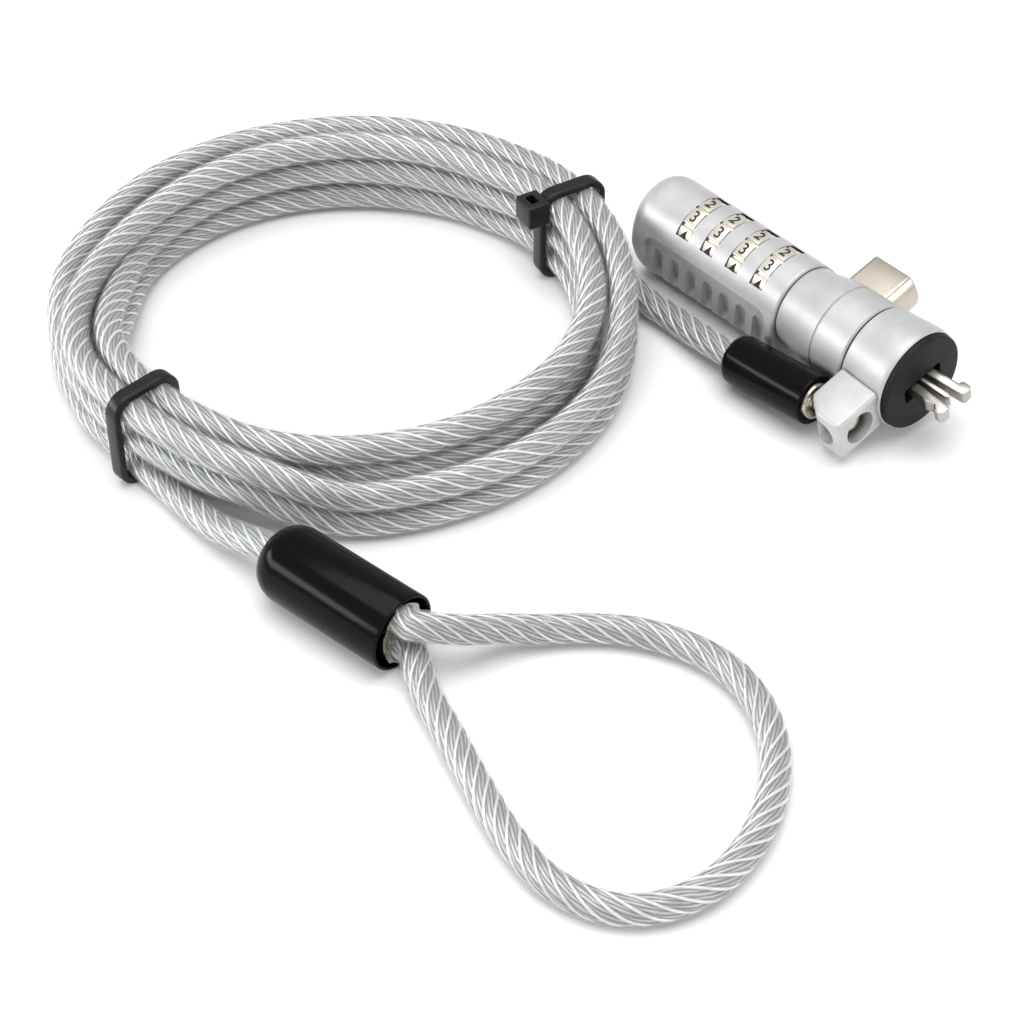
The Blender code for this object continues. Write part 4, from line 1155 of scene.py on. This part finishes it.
def make_neck():
    seat = BODY_FRONT + 0.15
    wide, groove = NECK_RADIUS, NECK_GROOVE_X
    profile = [
        (NECK_PLUG_REAR, NECK_BORE),
        (NECK_PLUG_REAR, NECK_PLUG_RADIUS),
        (seat, NECK_PLUG_RADIUS),
        (seat, 6.75),
        (-25.2, 6.85),
        (-23.4, 6.95),
        (-21.5, 7.35),
        (-19.6, 7.7),
        (-18.0, 7.84),
        (groove - 0.3, 7.9),
        (groove - 0.15, 7.72),
        (groove, 7.72),
        (groove + 0.15, 7.9),
        (-13.0, wide),
        (NECK_FRONT - 0.35, wide),
        (NECK_FRONT, wide - 0.25),
        (NECK_FRONT, SPIGOT_RADIUS),
        (SPIGOT_FRONT, SPIGOT_RADIUS),
        (SPIGOT_FRONT, 0.0),
        (SPIGOT_FLOOR, 0.0),
        (SPIGOT_FLOOR, NECK_HOLLOW),
        (NECK_HOLLOW_REAR, NECK_HOLLOW),
        (NECK_HOLLOW_REAR, NECK_BORE),
    ]
    neck = body_of("neck_barrel", turned(profile, 128))
    half_width, half_height = JAW_CHANNEL
    low, high = (SPIGOT_FLOOR - 0.4, -half_width, -half_height), (-1.0, half_width, half_height)
    carve(neck, box(low, high))
    carve(neck, prism(button_outline(0.15), 1, 3.0, 14.0))
    finish(neck, "satin_silver", HEAD, "head", ["neck_housing"], 30.0)


def make_button():
    button = soften(prism(button_outline(), 1, BUTTON_INNER_Y, BUTTON_FACE_Y), 0.55, 4, 40.0)
    button = body_of("release_button", button)
    finish(button, "champagne_nickel", HEAD, "button", ["push_button"], 30.0)


def make_collar():
    profile = [(COLLAR_REAR, COLLAR_BORE), (COLLAR_REAR, 7.85), (COLLAR_REAR + 0.25, 8.05)]
    profile += [(-8.0, 8.22), (-6.0, 8.4), (-4.5, 8.52), (-3.0, 8.6), (-1.9, 8.6)]
    profile += [(-1.55, 8.52), (COLLAR_FRONT, 8.3)]
    profile += [(COLLAR_FRONT - 0.5, 8.3), (COLLAR_FRONT - 0.5, COLLAR_BORE)]
    collar = body_of("swivel_ring", turned(profile, 128))
    lug = [
        (LUG_FRONT, -7.6),
        (LUG_REAR, -7.3),
        (LUG_REAR, -14.1),
        (-6.3, LUG_OUT),
        (LUG_FRONT, LUG_OUT),
    ]
    carve(collar, soften(prism(lug, 2, LUG_BOTTOM, LUG_TOP), 0.75, 5, 20.0), "UNION")
    sphere = bmesh.new()
    bmesh.ops.create_uvsphere(sphere, u_segments=40, v_segments=20, radius=BALL_SEAT)
    # Turned askew, so that none of its facets lies along a face of the lug.
    askew = Matrix.Rotation(math.radians(11.0), 4, Vector((1.0, 0.4, 0.7)))
    carve(collar, moved(sphere, Matrix.Translation(LOCAL_BALL) @ askew))
    reach = 9.0
    carve(collar, rod(LOCAL_BALL, LOCAL_BALL + Vector((reach, 0.0, -0.1)), LUG_HOLE, 48))
    carve(collar, rod(LOCAL_BALL, LOCAL_BALL + Vector((-reach, 0.0, 0.0)), BALL_SLOT, 48))
    carve(collar, rod(LOCAL_BALL, LOCAL_BALL + Vector((0.0, -reach, 0.0)), BALL_SLOT, 48))
    # The slot between the last two holes lets the stud swing from one to the other.
    half = 0.9 * BALL_SLOT
    low = LOCAL_BALL + Vector((-reach - 0.1, -reach - 0.1, -half))
    carve(collar, box(low, LOCAL_BALL + Vector((0.4, 0.4, half))))
    finish(collar, "satin_silver", HEAD, "collar", ["swivel_collar"], 30.0)


def make_pad():
    edge = 0.35
    profile = [(-PAD_THICKNESS, 0.0), (-PAD_THICKNESS, PAD_RADIUS), (-edge, PAD_RADIUS)]
    profile += [*arc((-edge, PAD_RADIUS - edge), edge, 90.0, 0.0, 6), (0.0, 0.0)]
    pad = body_of("rubber_face", turned(profile, 96))
    half_width, half_height = PAD_SLOT
    slot = rounded_box((-half_width, -half_height), (half_width, half_height), 0.5)
    carve(pad, prism(slot, 0, -3.0, 1.0))
    finish(pad, "black_rubber", HEAD, "head", ["face_pad"])


def make_jaws():
    tail_x, tip = JAW_TAIL_X, JAW_TIP_X
    rear = [(tail_x, 0.75), (-5.0, 0.75)]
    tail = [(-2.0, 2.6), (-4.6, 3.4), (tail_x, 3.4)]
    shapes = {
        "right": [(tip - 0.3, 1.5), (tip, 1.8), (tip, JAW_HEAD_Y - 0.55), (tip - 0.5, JAW_HEAD_Y)]
        + [(tip - 1.9, JAW_HEAD_Y), (tip - 2.1, 3.3), (tip - 2.2, 2.85)],
        "left": [(tip - 0.3, 1.5), (tip, 1.8), (tip, 3.0), (tip - 0.35, JAW_HEAD_Y - 0.1)]
        + [(tip - 0.7, JAW_HEAD_Y), (tip - 1.5, JAW_HEAD_Y - 0.1), (tip - 1.8, 3.1), (tip - 2.3, 2.6)]
        + [(tip - 3.0, 2.75), (tip - 3.6, 3.0), (tip - 4.3, 2.95), (tip - 4.9, 2.65)],
    }
    for label, side in (("right", 1.0), ("left", -1.0)):
        outline = [(x, side * y) for x, y in rear + shapes[label] + tail]
        plate = soften(prism(outline, 2, -JAW_HALF_DEPTH, JAW_HALF_DEPTH), 0.16, 3, 15.0)
        jaw = body_of(f"{label}_hook", plate)
        pin = (JAW_PIN[0], side * JAW_PIN[1])
        carve(jaw, rod((*pin, -2.0), (*pin, 2.0), JAW_BORE, 32))
        finish(jaw, "jaw_steel", HEAD, f"{label}_jaw", [f"jaw_{label}"], 30.0)


def make_blade():
    half, point = BLADE_THICKNESS / 2.0, BLADE_TIP_X - 0.6
    outline = [(BLADE_REAR, half), (BLADE_REAR, -half), (point, -half), (BLADE_TIP_X, -0.12)]
    outline += [(BLADE_TIP_X, 0.12), (point, half)]
    plate = soften(prism(outline, 2, -BLADE_HALF_DEPTH, BLADE_HALF_DEPTH), 0.1, 2, 15.0)
    finish(body_of("wedge_blade", plate), "jaw_steel", HEAD, "latch", ["centre_blade"], 30.0)


def dress_inner_parts():
    """The pieces inside the barrel keep their CAD shapes and take their finishes."""
    inner = {
        "brass": ["code_sleeve_1", "code_sleeve_2", "code_sleeve_3", "code_sleeve_4"],
        "jaw_steel": ["jaw_pin_right", "jaw_pin_left", "latch_slider", "spindle"],
        "spring_steel": ["spindle_spring", "detent_spring"],
    }
    for look, names in inner.items():
        for name in names:
            node = bpy.data.objects[name]
            node.data.materials.clear()
            node.data.materials.append(FINISHES[look])


make_camera()
make_stage()
make_finishes()
fittings = make_lock_end() + make_loop_end()
for tie, tie_angle in TIE_ANGLES.items():
    fittings.append(make_tie(tie, tie_angle))
make_cable()
make_barrel()
make_rear()
make_wheels()
make_neck()
make_button()
make_collar()
make_pad()
make_jaws()
make_blade()
dress_inner_parts()
